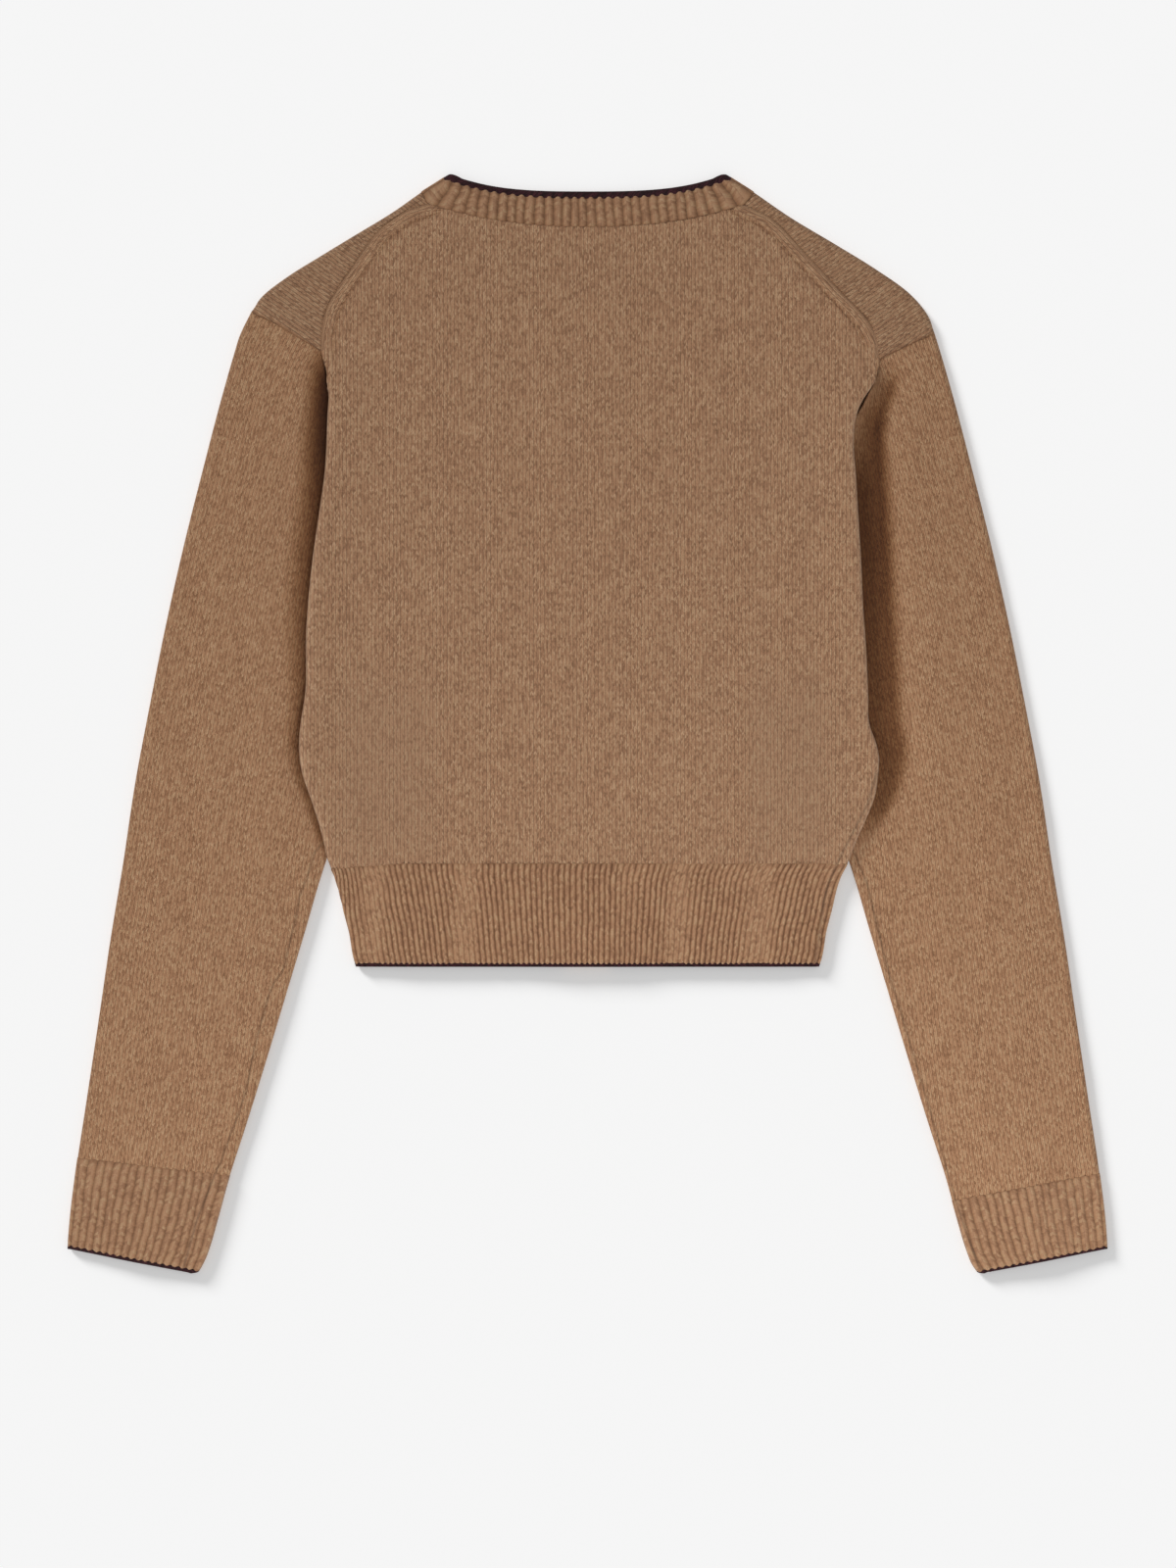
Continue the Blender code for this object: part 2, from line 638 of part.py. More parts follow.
def make_sleeve(side, knit):
    armhole = ARMHOLE[side]
    stations = len(armhole) - 1
    places, outer_normal, normal = tube_row(side, armhole[0][1], armhole[-1][1], stations)
    cut = [places[0]] + [np.array(point) for point in armhole[1:-1]] + [places[-1]]
    bend = [point - place for point, place in zip(cut, places)]
    rings = [tube_ring(side, cut, outer_normal, normal)]
    for outer_y, inner_y, kept in SLEEVE_ROWS + [(*CUFF_TOP[side], 0.0)]:
        if outer_y > armhole[0][1] - 8.0:
            outer_y = armhole[0][1] - 8.0
        places, outer_normal, normal = tube_row(side, outer_y, inner_y, stations)
        places = [place + kept * off for place, off in zip(places, bend)]
        rings.append(tube_ring(side, places, outer_normal, normal))
    outer, inner = zip(*[split(ring) for ring in rings])
    wall("sleeve_" + side, outer, inner, knit, closed=True)


def cuff_rings(side, shares, stations, extra, ribs):
    rings = []
    for share in shares:
        heights = [top + (low - top) * share for top, low in zip(CUFF_TOP[side], CUFF_BOTTOM)]
        places, outer_normal, normal = tube_row(side, *heights, stations)
        rings.append(tube_ring(side, places, outer_normal, normal, extra, ribs))
    return [split(ring) for ring in rings]


def make_cuff(side, knit, tipping):
    length = CUFF_TOP[side][0] - CUFF_BOTTOM[0]
    gap = SEAM / length
    shares = (gap, 0.5, 1.0 - CUFF_TIP - gap)
    outer = [ring[0] for ring in cuff_rings(side, shares, 2 * CUFF_RIBS, 0.0, True)]
    inner = [ring[1] for ring in cuff_rings(side, shares, CUFF_RIBS // 2, 0.0, False)]
    wall("cuff_" + side, outer, inner, knit, closed=True)
    tip = cuff_rings(side, (1.0 - CUFF_TIP, 1.0), 8, TIP_PROUD, False)
    wall("tipping_cuff_" + side, [ring[0] for ring in tip], [ring[1] for ring in tip], tipping, closed=True)


# ---------------------------------------------------------------- hem

HEM_ROWS_Y = (-116.0,)


def hem_row(y_at, stations, ribs, extra=0.0):
    """A row of the hem over the back, from the seam under one side to the seam under the other."""
    ends = {}
    for side in ("left", "right"):
        sign = sign_of(side)
        y = y_at(sign * 158.0)
        edge = turned_edge(side, y)
        turned = [place for place in reversed(edge) if place[3] < 90.0]
        ends[side] = [
            skin(sign * x, y, low, high + extra, angle, (sign, 0.0)) for x, low, high, angle in turned
        ]
        ends[side + "_x"] = sign * edge[1][0]
    row = ends["left"]
    for k in range(stations + 1):
        x = ends["left_x"] + (ends["right_x"] - ends["left_x"]) * k / stations
        y = y_at(x)
        row.append(skin(x, y, 0.0, body_top(x, y) + extra, 90.0, raised=RIB_HEIGHT if ribs and k % 2 else 0.0))
    return row + ends["right"][::-1]


def hem_levels():
    levels = [lambda x: rib_top(x) - 0.45]
    levels += [lambda x, y=y: y for y in HEM_ROWS_Y]
    return levels + [lambda x: HEM_Y + HEM_TIP + SEAM]


def make_hem(knit, tipping):
    outer = [split(hem_row(level, 2 * HEM_RIBS, True))[0] for level in hem_levels()]
    inner = [split(hem_row(level, HEM_RIBS // 2, False))[1] for level in hem_levels()]
    wall("hem_back", outer, inner, knit)
    for side in ("left", "right"):
        rows = []
        for level in hem_levels():
            end_y = level(sign_of(side) * 158.0)
            end = turned_seam(side, end_y) - SEAM
            rows.append(front_row(side, (BAND_HALF + SEAM, level(0.0)), (end, end_y), 1.0))
        outer, inner = zip(*[split(row) for row in rows])
        wall("hem_front_" + side, outer, inner, knit)
    rows = []
    for y in (HEM_Y + HEM_TIP, HEM_Y):
        row = hem_row(lambda x, y=y: y, 20, False, TIP_PROUD)
        for side in ("left", "right"):
            end = turned_seam(side, y)
            distances = front_distances(end - BAND_HALF - SEAM, 1.0)
            under = [under_skin(side, (end - off, y)) for off in distances[:-1]]
            row = under + row if side == "left" else row + under[::-1]
        rows.append(row)
    outer, inner = zip(*[split(row) for row in rows])
    wall("tipping_hem", outer, inner, tipping)


# ---------------------------------------------------------------- neckband

NECK_FRONT_STATIONS = 2 * NECK_ROWS


def neck_fold_skin(side, share, angle, extra):
    """A point round the fold of the neckband at the shoulder, at a share of its height."""
    sign = sign_of(side)
    seam = np.array(NECK_FOLD_SEAM_END)
    peak = np.array(NECK_PEAK)
    run = (peak - seam) / np.linalg.norm(peak - seam)
    normal = np.array([run[1], -run[0]])
    axis = seam + (peak - seam) * share - normal * EDGE_LOFT / 2
    top = body_top(sign * axis[0], axis[1]) + extra
    return axis, skin(sign * axis[0], axis[1], 0.0, top, angle, (sign * normal[0], normal[1]))


def neck_row(share, stations, ribs, extra=0.0):
    """A row along the neckband: under one front, over the back of the neck and under the other front."""
    ends = {}
    for side in ("left", "right"):
        run = []
        for k in range(NECK_FRONT_STATIONS, 0, -1):
            ends_of_run = [trace(FRONT_NECK_SEAM, (k + off) // 2 / NECK_ROWS) for off in (0, 1)]
            seam = (ends_of_run[0] + ends_of_run[1]) / 2
            edge = trace(FRONT_NECK_EDGE, k / NECK_FRONT_STATIONS)
            run.append(under_skin(side, seam + (edge - seam) * share))
        run += [neck_fold_skin(side, share, angle, extra)[1] for angle in (-90.0, *FOLD_ANGLES)]
        ends[side] = run
    left_seam = neck_fold_skin("left", 0.0, 90.0, 0.0)[0] * (-1.0, 1.0)
    right_seam = neck_fold_skin("right", 0.0, 90.0, 0.0)[0]
    left_peak = neck_fold_skin("left", 1.0, 90.0, 0.0)[0] * (-1.0, 1.0)
    right_peak = neck_fold_skin("right", 1.0, 90.0, 0.0)[0]
    ends_x = (-SHOULDER_SEAM["left"][-1][0], SHOULDER_SEAM["right"][-1][0])
    seam_line = [left_seam] + [(x, neck_seam(x)) for x in np.linspace(*ends_x, 33)] + [right_seam]
    across = np.linspace(-0.96, 0.96, 25) * NECK_EDGE_HALF
    edge_line = [left_peak] + [(x, neck_edge(x)) for x in across] + [right_peak]
    back = []
    for k in range(stations + 1):
        seam = polyline(seam_line, k / stations)
        edge = polyline(edge_line, k / stations)
        x, y = seam + (edge - seam) * share
        back.append(skin(x, y, 0.0, body_top(x, y) + extra, 90.0, raised=RIB_HEIGHT if ribs and k % 2 else 0.0))
    return ends["left"] + back + ends["right"][::-1]


def make_neckband(knit, tipping):
    shares = (NECK_GAP, 0.5, 1.0 - NECK_TIP - 1.7 * NECK_GAP)
    outer = [split(neck_row(share, 2 * NECK_RIBS, True))[0] for share in shares]
    inner = [split(neck_row(share, NECK_RIBS, False))[1] for share in shares]
    wall("neckband", outer, inner, knit)
    tip = [split(neck_row(share, NECK_RIBS, False, TIP_PROUD)) for share in (1.0 - NECK_TIP, 1.0)]
    wall("tipping_neck", [row[0] for row in tip], [row[1] for row in tip], tipping)


# ---------------------------------------------------------------- front bands and buttons

BUTTON_PROFILE = [(0.0, 0.4), (3.4, 0.4), (3.9, 0.0), (5.2, 0.0), (5.75, 0.6), (5.75, 1.4), (5.2, 2.0), (0.0, 2.0)]
BUTTON_SIDES = 16


def make_band(name, low, knit):
    rows = []
    for y in np.linspace(HEM_Y, FRONT_NECK_EDGE[-1][1], 9):
        row = [skin(x, y, low, low + 2 * CLOTH, -90.0) for x in np.linspace(-BAND_HALF, BAND_HALF, 5)]
        rows.append(row)
    outer, inner = zip(*[split(row) for row in rows])
    wall(name, outer, inner, knit)


def make_button(name, y, horn):
    """A button lying face down: a dished face, a round rim and a flat back."""
    mesh = bmesh.new()
    rings = []
    for radius, z in BUTTON_PROFILE:
        turns = [2 * math.pi * k / BUTTON_SIDES for k in range(BUTTON_SIDES if radius else 1)]
        points = [(radius * math.cos(a) * MM, (y + radius * math.sin(a)) * MM, z * MM) for a in turns]
        rings.append([mesh.verts.new(point) for point in points])
    for ring, after in zip(rings, rings[1:]):
        for k in range(BUTTON_SIDES):
            quad = [ring[k % len(ring)], ring[(k + 1) % len(ring)]]
            quad += [after[(k + 1) % len(after)], after[k % len(after)]]
            mesh.faces.new(list(dict.fromkeys(quad)))
    finish(mesh, name, horn)


def main():
    for old in list(bpy.data.objects):
        bpy.data.objects.remove(old, do_unlink=True)
    knit = fabric("knit", (0.31, 0.17, 0.095), 0.9)
    tipping = fabric("tipping", (0.03, 0.006, 0.01), 0.9)
    horn = fabric("horn", (0.06, 0.03, 0.02), 0.35)
    make_back(knit)
    make_hem(knit, tipping)
    make_neckband(knit, tipping)
    for side in ("left", "right"):
        make_front(side, knit)
        make_sleeve(side, knit)
        make_cuff(side, knit, tipping)
    make_band("buttonhole_band", BUTTONHOLE_BAND_LOW, knit)
    make_band("button_band", BUTTON_BAND_LOW, knit)
    for k, y in enumerate(np.linspace(BUTTON_FIRST_Y, BUTTON_LAST_Y, BUTTON_COUNT)):
        make_button("button_%d" % (k + 1), float(y), horn)


main()
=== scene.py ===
"""The looks of a cropped knitted cardigan that lies flat with its back up.

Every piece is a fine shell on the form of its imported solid. Tables are in millimetres, as in the part's
own source, which this script can't read, so the tables and the functions that lay out the panels are
repeated here. X runs to the wearer's right, Y from the hem to the neck and Z up.
"""

import bisect
import math

import bmesh
import bpy
import numpy as np
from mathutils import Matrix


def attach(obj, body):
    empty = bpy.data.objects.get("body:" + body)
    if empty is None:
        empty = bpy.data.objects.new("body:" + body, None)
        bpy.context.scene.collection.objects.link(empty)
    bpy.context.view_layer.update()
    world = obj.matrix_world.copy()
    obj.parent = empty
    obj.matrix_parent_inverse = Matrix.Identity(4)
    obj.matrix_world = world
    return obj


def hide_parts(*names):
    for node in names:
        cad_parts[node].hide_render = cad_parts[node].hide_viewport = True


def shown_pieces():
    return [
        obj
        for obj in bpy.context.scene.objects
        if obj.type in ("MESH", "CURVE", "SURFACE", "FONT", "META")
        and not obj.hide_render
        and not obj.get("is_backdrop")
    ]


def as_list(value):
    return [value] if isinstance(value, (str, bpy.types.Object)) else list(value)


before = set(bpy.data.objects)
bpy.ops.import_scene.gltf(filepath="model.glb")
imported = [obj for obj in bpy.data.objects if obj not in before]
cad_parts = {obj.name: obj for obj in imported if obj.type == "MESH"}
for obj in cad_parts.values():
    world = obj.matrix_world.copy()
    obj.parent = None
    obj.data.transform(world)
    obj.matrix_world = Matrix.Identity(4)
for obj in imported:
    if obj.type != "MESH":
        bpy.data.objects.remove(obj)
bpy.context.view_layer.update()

MM = 0.001

# Cloth
CLOTH = 1.4  # thickness of the knit
SEAM = 0.3  # gap between two pieces at a seam
EDGE_LOFT = 4.6  # thickness of the flattened tubes at their outer folds
FULL_LOFT = 6.75  # and away from the folds
LOFT_REACH = 45.0
PRESSED = 3.2  # a sleeve under the body: two layers, pressed flat
OVER_SLEEVE = PRESSED + SEAM

# Main levels (Y)
MIDDLE_Y = 0.4  # half way between the cuffs' ends and the neck's points
NECK_SEAM_Y = 305.6
NECK_EDGE_Y = 327.2
NECK_OPEN_Y = 252.0  # above this no front lies under the back of the neck
UNDERARM_Y = 108.0
UNDERARM_X = 105.0
SIDE_SEAM_SHOWS_Y = -20.0
RIB_TOP_Y = -84.8
RIB_DIP = 3.2  # how far the top of the hem's rib dips towards the left side, and from where
RIB_DIP_X = 112.0
SIDE_X = 158.0  # roughly where the sides of the hem are
HEM_Y = -148.0
SLEEVE_LEAVES_BODY_Y = -82.0

# Neck
NECK_EDGE_HALF = 84.9
NECK_SEAM_HALF = 97.5
NECK_SEAM_DIP = 13.9
NECK_SEAM_POWER = 2.3
NECK_EDGE_POWER = 3.1
NECK_PEAK = (84.9, 337.8)
NECK_FOLD_SEAM_END = (101.5, 327.2)
FRONT_NECK_SEAM = [(101.5, 327.2), (100.0, 300.0), (88.0, 268.0), (62.0, 240.0), (35.0, 230.0), (14.3, 228.0)]
FRONT_NECK_EDGE = [(84.9, 337.8), (79.0, 302.0), (70.0, 280.0), (50.0, 259.0), (30.0, 251.5), (14.3, 250.0)]

# Bands, ribs and tipping
BAND_HALF = 14.0
BUTTON_THICK = 2.0
BUTTON_COUNT = 7
BUTTON_FIRST_Y = -136.0
BUTTON_LAST_Y = 238.0
BUTTONHOLE_BAND_LOW = BUTTON_THICK + SEAM
BUTTON_BAND_LOW = BUTTONHOLE_BAND_LOW + CLOTH + SEAM
BAND_BUMP = BUTTON_BAND_LOW + CLOTH + SEAM + CLOTH + 0.2
RIB_HEIGHT = 0.6
HEM_RIBS = 86
NECK_PITCH = 5.3  # of its ribs
NECK_FOLD_X = 101.0  # where its seam goes over the shoulder's fold
NECK_LEAN = 16.6  # how far the ribs lean in at the folds
NECK_LEAN_REACH = 17.0
CUFF_RIBS = 18
HEM_TIP = 2.2
NECK_TIP = 0.12  # as a share of the neckband's height
NECK_GAP = 0.021  # the same, of the gap at its seam
CUFF_TIP = 0.035  # as a share of the cuff's length
TIP_PROUD = 0.3
CUFF_CORNER = 5.0  # radius of the cuffs' inner lower corners

# Outline of shoulder and sleeve, alike on both sides, from the cuff up to the neck: y, outward x
OUTLINE = [
    (-340.0, 319.6), (-320.0, 318.7), (-300.0, 317.1), (-276.0, 314.1), (-228.0, 306.9), (-180.0, 299.7),
    (-131.0, 292.5), (-84.0, 284.7), (-36.0, 277.5), (12.0, 268.5), (60.0, 258.9), (108.0, 248.1),
    (156.0, 236.1), (204.0, 223.5), (233.0, 215.1), (242.4, 212.1), (252.0, 207.9), (254.4, 205.5),
    (261.6, 200.7), (271.2, 189.3), (290.4, 159.3), (319.2, 112.5), (327.2, 101.5), (337.8, 84.9),
]
# Inner fold of the sleeve, from the cuff up to the underarm: y, outward x
INNER_FOLD = [
    (-350.0, 244.0), (-337.0, 238.4), (-324.0, 233.1), (-300.0, 225.9), (-276.0, 219.3), (-252.0, 211.5),
    (-204.0, 196.5), (-156.0, 182.1), (-124.0, 172.5), (-95.0, 164.1), (SLEEVE_LEAVES_BODY_Y, 159.9),
    (UNDERARM_Y, UNDERARM_X),
]
# Side edge of the hem, the body and the back's shoulder seam as they show from above: y, outward x
BODY_EDGE = {
    "left": [
        (-148.2, 141.9), (-141.6, 143.7), (-127.2, 146.1), (-112.8, 149.7), (-98.4, 153.3), (-91.2, 155.7),
        (-84.0, 158.9), (-74.0, 161.0), (-61.2, 164.3), (-45.0, 169.5), (-30.0, 174.6), (-10.2, 176.7),
        (-2.4, 176.1), (21.0, 172.8), (55.8, 172.4), (80.4, 170.7), (107.4, 167.7), (132.0, 164.1),
        (153.6, 161.1), (190.8, 159.2), (211.2, 158.2), (222.0, 160.6), (229.5, 162.8),
    ],
    "right": [
        (-148.2, 141.9), (-141.6, 143.7), (-127.2, 146.1), (-112.8, 149.7), (-98.4, 153.3), (-91.2, 155.9),
        (-84.0, 159.6), (-76.0, 162.6), (-67.2, 166.2), (-55.8, 171.3), (-43.2, 176.1), (-30.0, 177.9),
        (-18.6, 178.5), (-9.0, 176.1), (-0.6, 173.0), (19.8, 171.9), (46.2, 170.7), (72.0, 168.9),
        (99.0, 167.7), (129.0, 165.9), (153.6, 164.4), (178.0, 163.2), (191.0, 165.0), (205.0, 171.5),
        (214.0, 176.2), (224.6, 178.4),
    ],
}
# Seam between the sleeve and the body, from the shoulder's tip over the joint to the underarm: outward x, y
JOINT_STATION = 3
ARMHOLE = {
    "left": [
        (205.5, 253.9), (192.0, 246.5), (178.0, 238.0), (163.4, 229.2), (160.9, 219.0), (158.9, 209.5),
        (154.0, 197.0), (145.0, 180.0), (133.0, 158.0), (119.0, 133.0), (UNDERARM_X, UNDERARM_Y),
    ],
    "right": [
        (213.2, 240.0), (202.0, 235.3), (190.5, 229.8), (179.0, 224.3), (177.4, 215.0), (174.6, 207.0),
        (168.0, 195.0), (156.0, 177.0), (140.0, 155.0), (122.0, 131.0), (UNDERARM_X, UNDERARM_Y),
    ],
}
# Diagonal seam between the back and the front's shoulder, from the joint up to the neckband: outward x, y
SHOULDER_SEAM = {
    "left": [
        (162.8, 229.5), (162.9, 240.6), (159.9, 254.4), (153.9, 265.8), (146.1, 277.2), (128.1, 302.4),
        (111.9, 314.6), (97.5, 319.5),
    ],
    "right": [
        (178.4, 224.6), (177.9, 234.6), (173.1, 245.4), (165.3, 255.0), (153.9, 266.4), (143.1, 278.4),
        (128.1, 294.6), (118.5, 305.4), (110.0, 312.4), (95.6, 318.8),
    ],
}
# Rows of the sleeve below the armhole: outer y, inner y, how much of the armhole's bend is left
SLEEVE_ROWS = [
    (238.0, 103.0, 0.80), (219.0, 96.0, 0.60), (196.0, 86.0, 0.42), (170.0, 73.0, 0.26), (142.0, 57.0, 0.12),
    (112.0, 38.0, 0.04), (78.0, 14.0, 0.0), (40.0, -16.0, 0.0), (0.0, -50.0, 0.0), (-44.0, -90.0, 0.0),
    (-92.0, -126.0, 0.0), (-148.0, -170.0, 0.0), (-206.0, -220.0, 0.0),
]
# Top of the cuff's rib: outer y, inner y
CUFF_TOP = {"left": (-265.2, -276.0), "right": (-274.8, -291.6)}
CUFF_BOTTOM = (-321.0, -337.0)

# Heights. A run is where a change of height starts and over what distance it is made
SQUARE_TO_FOLD = 0.96  # share of a step outward that is square to the inner fold of a sleeve
FOLD_RISE = 1.7  # how far the back rises to its folded edge
FOLD_RISE_REACH = 35.0
FOLD_RUN = (-98.0, 40.0)
FOLD_LAG = 2.0  # the back lets go of that rise a little above the sleeve
FOLD_DEPTH = 2.4  # from the body's edge in to where the cloth that is turned under lies flat
FOLD_TOP_IN = 2.2  # from the body's edge in to where the top sheet is flat
FOLD_FLOOR_IN = 2.6
FOLD_LIFT = 0.45  # how far the turned edge's lower side comes up where it flattens out
FOLD_LIFT_REACH = 14.0
LAP = 3.0  # least width that the back turns under
EDGE_LEAD = 12.0  # width beside an edge where the stations are close together
FOLD_ENDS_Y = (196.0, 216.0)  # the turned edge flattens out to the armhole seam
PRESS_RUN = (-128.0, 42.0)  # up a sleeve, where the body starts to press it flat
PRESS_ENDS_Y = (204.0, 232.0)  # and where it rises again
OFF_SLEEVE_RUN = (1.8, 12.0)  # down from a sleeve to the surface
OFF_BUTTONS_RUN = (0.6, 20.0)  # down from the bands
BANDS_RUN = (1.0, 34.0)  # the back over the bands
BANDS_END_RUN = (NECK_OPEN_Y, 30.0)
WAIST_DROP = 1.0  # the back lies lower towards the hem
WAIST_RUN = (-50.0, -80.0)
HEM_EDGE_RUN = (-78.0, -34.0)  # the hem's sides round down
CREASES_END_Y = 215.0
CREASE_ENDS = 0.7  # how bluntly creases run out
NECK_SAG = 3.2  # the back of the neck sinks where no front lies under it
NECK_SAG_RUN = (NECK_OPEN_Y + 2.0, 48.0)
NECK_SAG_HALF = 86.0

# Soft creases in the back: start x, start y, end x, end y, depth (negative for a ridge), half width
BACK_CREASES = [
    (-60.0, 60.0, -57.0, -84.0, 0.5, 15.0),
    (-30.0, 160.0, -30.0, -20.0, 0.4, 14.0),
    (-102.0, 120.0, -104.0, 40.0, -0.4, 18.0),
    (150.0, 40.0, 128.0, -70.0, 0.4, 13.0),
    (-148.0, 30.0, -128.0, -70.0, 0.4, 13.0),
]
# and in the sleeves: outward
SLEEVE_CREASES = [
    (246.0, 40.0, 228.0, -180.0, 0.5, 12.0),
    (222.0, 150.0, 205.0, -20.0, -0.3, 14.0),
]


# ---------------------------------------------------------------- the looks' own sizes

WALE = 2.2  # width of one column of stitches
COURSE = 1.75  # height of one row of stitches
RIB_COURSE = 1.9
FAR = 60.0  # a distance that counts as nowhere near a line
LEVEL_FROM = 0.15  # cloth that faces up this much starts to count as the top sheet
LEVEL_REACH = 0.5
INNER_LEAST = 0.35  # least height of a wall's inner surface
SMOOTH_BELOW = 65.0  # degrees between faces that are shaded as one
LEAST_CUT = 10.0  # least width of a sheet; the dark edges are narrower
LEAST_AREA = 0.31  # least area of a sheet, as a share of its length times its width
SEAM_SHADE = 0.8  # how far the shade of a seam reaches
SEAM_REACH = 0.5  # how far a sewn edge goes on into its seam
TIP_REACH = 0.9  # how far the ribs' round ends lap the dark edge
MARK_PITCH = 3.2  # between the knitted-in marks along the shoulders
MARK_OFF = 7.6  # from the shoulder seam to those marks
MARK_WIDTH = 1.1
MARK_DEPTH = 0.42
MARK_DARK = 1.5
BAND_OFF = 3.4  # and to the middle of the smooth band between them
BAND_WIDTH = 2.6
BAND_RISE = 0.28
BAND_COLUMNS = 5.8  # how many coarse columns it takes
SHOULDER_RUN = (222.0, 12.0)  # up the back, where that band starts
EDGE_HIGHLIGHT = 3.2  # width of the painted highlight on the body's folded edges, where the fuzz catches the light
HIGHLIGHT_END_RUN = (190.0, 20.0)
WRAP_GRAIN = 145.0  # degrees from the front's columns of stitches to the body's
SLEEVE_GRAIN = (0.2, -0.98)  # along a sleeve
FREE_RUN = (176.0, 14.0)  # outward, where a sleeve is free to swell
ARM_RUN = (140.0, 50.0)  # up the right sleeve, where the trough's deepest line moves off the body
ARM_OFF = 13.0
TROUGH_OFF = 0.85
SEEN_ABOVE = 0.05  # the least that a sewn line's cloth faces up
SWELLS = ((0.34, 58.0, 0), (0.2, 26.0, 3), (0.09, 11.0, 7))  # rises and dips: height, size, step of the seed
RIB_WANDER = (0.16, 13.0, 0.35)  # of the ribs: how far, size of the bends, and how slowly they change with y
RIB_SPOTS = (24.0, 0.3, 1.4)  # flatter places in the ribs: size, change with y, sharpness
RIB_FLATTEST = 0.75
FLATTER_LEAN = 0.06  # how the flatter places along the hem lean with y
RIB_PROUD = 0.15  # how much higher the hem's and the neck's ribs are than the solids'
RIB_END = 0.1  # how far the grooves between the ribs stop short
END_TUCK = (0.4, 0.6)  # how the ribs' ends round down: depth, distance
NECK_END_TUCK = (0.4, 0.7)
NECK_RIB_END = 0.8
NECK_FOLD_REACH = (0.5, 5.0)  # how much further the neck's seam reaches at the fold, and how near to it
NECK_TIP_REACH = (1.8, 1.2)  # how far the neck's dark edge goes in behind the ribs, and from where
PEAK_BEND = (0.05, 0.038)  # how that edge falls away from the neck's peak: at once, and faster and faster
PEAK_REACH = 16.0
PEAK_COLUMNS = 2.5  # coarse columns past the fold that still bend with it
SHADED_FROM = -0.1  # the trough's shade ends where the cloth faces down this much
SHADED_REACH = 0.3
RIB_BELOW = 0.35  # depth of the grooves on the side that rests flat
TIP_WALE = 1.65  # stitches of the dark edges
TIP_COURSE = 1.1
TIP_ROUND = 0.35  # how far their sides round down, and over what distance
TIP_ROUND_REACH = 0.9
HIDDEN_RIB = 3.3  # pitch of the ribs on the fronts' hem
BAND_RIB = 3.5
BAND_RIB_DEPTH = 0.3
HEM_FAN = (4.0, 13.0)  # ribs that crowd together in the hem's left corner: how many, and over what distance
HEM_FAN_HEIGHT = 62.0
CORNER = (-152.0, 14.0)  # where they stay sharp: x, half width

# How fine the pieces are: between rows, between columns
BACK_GRID = (2.4, 1.6)
FRONT_GRID = (2.6, 2.6)
SLEEVE_GRID = (2.5, 2.0)
HEM_GRID = (2.3, 0.42)
FRONT_HEM_GRID = (3.0, 0.55)
CUFF_GRID = (2.3, 0.55)
NECK_GRID = (1.5, 0.5)
BAND_GRID = (2.5, 0.6)
TIP_GRID = (0.7, 0.8)
SEWN_ROWS = (0.4, 0.9, 1.5)  # extra rows beside a sewn edge: how far from it

# Lines of sewing that show on the top side, from the photograph: plan points
SIDE_SEAM = [(176.5, -30.0), (171.5, -48.0), (163.0, -64.5), (153.5, -83.0), (147.5, -97.0), (145.0, -108.0),
             (138.5, -147.5)]
SLEEVE_SEAM = {
    "left": [(-160.0, -70.0), (-167.0, -77.4), (-170.7, -90.0), (-176.7, -105.6), (-178.5, -117.6),
             (-183.3, -136.8), (-186.3, -150.0), (-192.3, -157.8), (-196.2, -168.3), (-203.1, -193.2),
             (-206.1, -208.8), (-209.7, -225.6), (-214.5, -240.0), (-219.3, -252.0), (-225.0, -268.2),
             (-228.3, -274.8), (-240.0, -305.0), (-247.5, -332.4)],
    "right": [(160.0, -70.0), (163.0, -77.0), (171.3, -96.0), (175.5, -114.0), (180.3, -134.7),
              (184.0, -149.4), (195.0, -186.0), (207.0, -226.0), (219.0, -267.6), (224.7, -288.6),
              (232.0, -310.0), (240.0, -332.0)],
}

# The trough in each sleeve beside the body: width of its flat bottom, and of its slope
TROUGH = {"left": (0.0, 18.0), "right": (13.0, 22.0)}
TROUGH_TOP = 2.85
LEFT_TROUGH_POWER = 2.2
ARMPIT_RISE = 2.0  # how far the right sleeve comes up beside the body's edge under the arm
ARMPIT_TOP = 5.6
ARMPIT_RUN = (-0.6, 2.2)  # out from the body's edge
ARMPIT_END_RUN = (3.0, 12.0)
ARMPIT_Y = 203.0
ARMPIT_HALF = 17.0
# How dark it is down there: y, share of the light lost, and the distances from the body where that fades
TROUGH_SHADE = {
    "left": [(-84.0, 0.0, 0.0, 5.0), (-66.0, 0.5, 0.5, 6.0), (-30.0, 0.45, 1.0, 9.0), (0.0, 0.42, 1.5, 12.0),
             (60.0, 0.43, 2.0, 18.0), (120.0, 0.60, 2.0, 20.0), (170.0, 0.84, 2.5, 20.0),
             (212.0, 0.86, 2.0, 18.0), (236.0, 0.0, 0.5, 9.0)],
    "right": [(-74.0, 0.0, 3.0, 9.0), (-52.0, 0.5, 8.0, 17.0), (-6.0, 0.6, 14.0, 24.0),
              (84.0, 0.70, 14.0, 25.0), (114.0, 0.74, 14.0, 25.0), (150.0, 0.74, 14.0, 25.0),
              (185.0, 0.75, 15.0, 23.0), (205.0, 0.5, 14.0, 21.0), (224.0, 0.0, 8.0, 15.0)],
}

# Places along the hem where its ribs lie flatter: x, half width
FLATTER_RIBS = [(-126.0, 9.0), (-68.0, 8.0), (62.0, 7.0), (112.0, 9.0)]

# Places where the back is smoother and greyer: x, y, half width, half height
SMOOTHER = [(-122.0, -30.0, 32.0, 62.0), (126.0, -28.0, 30.0, 60.0)]

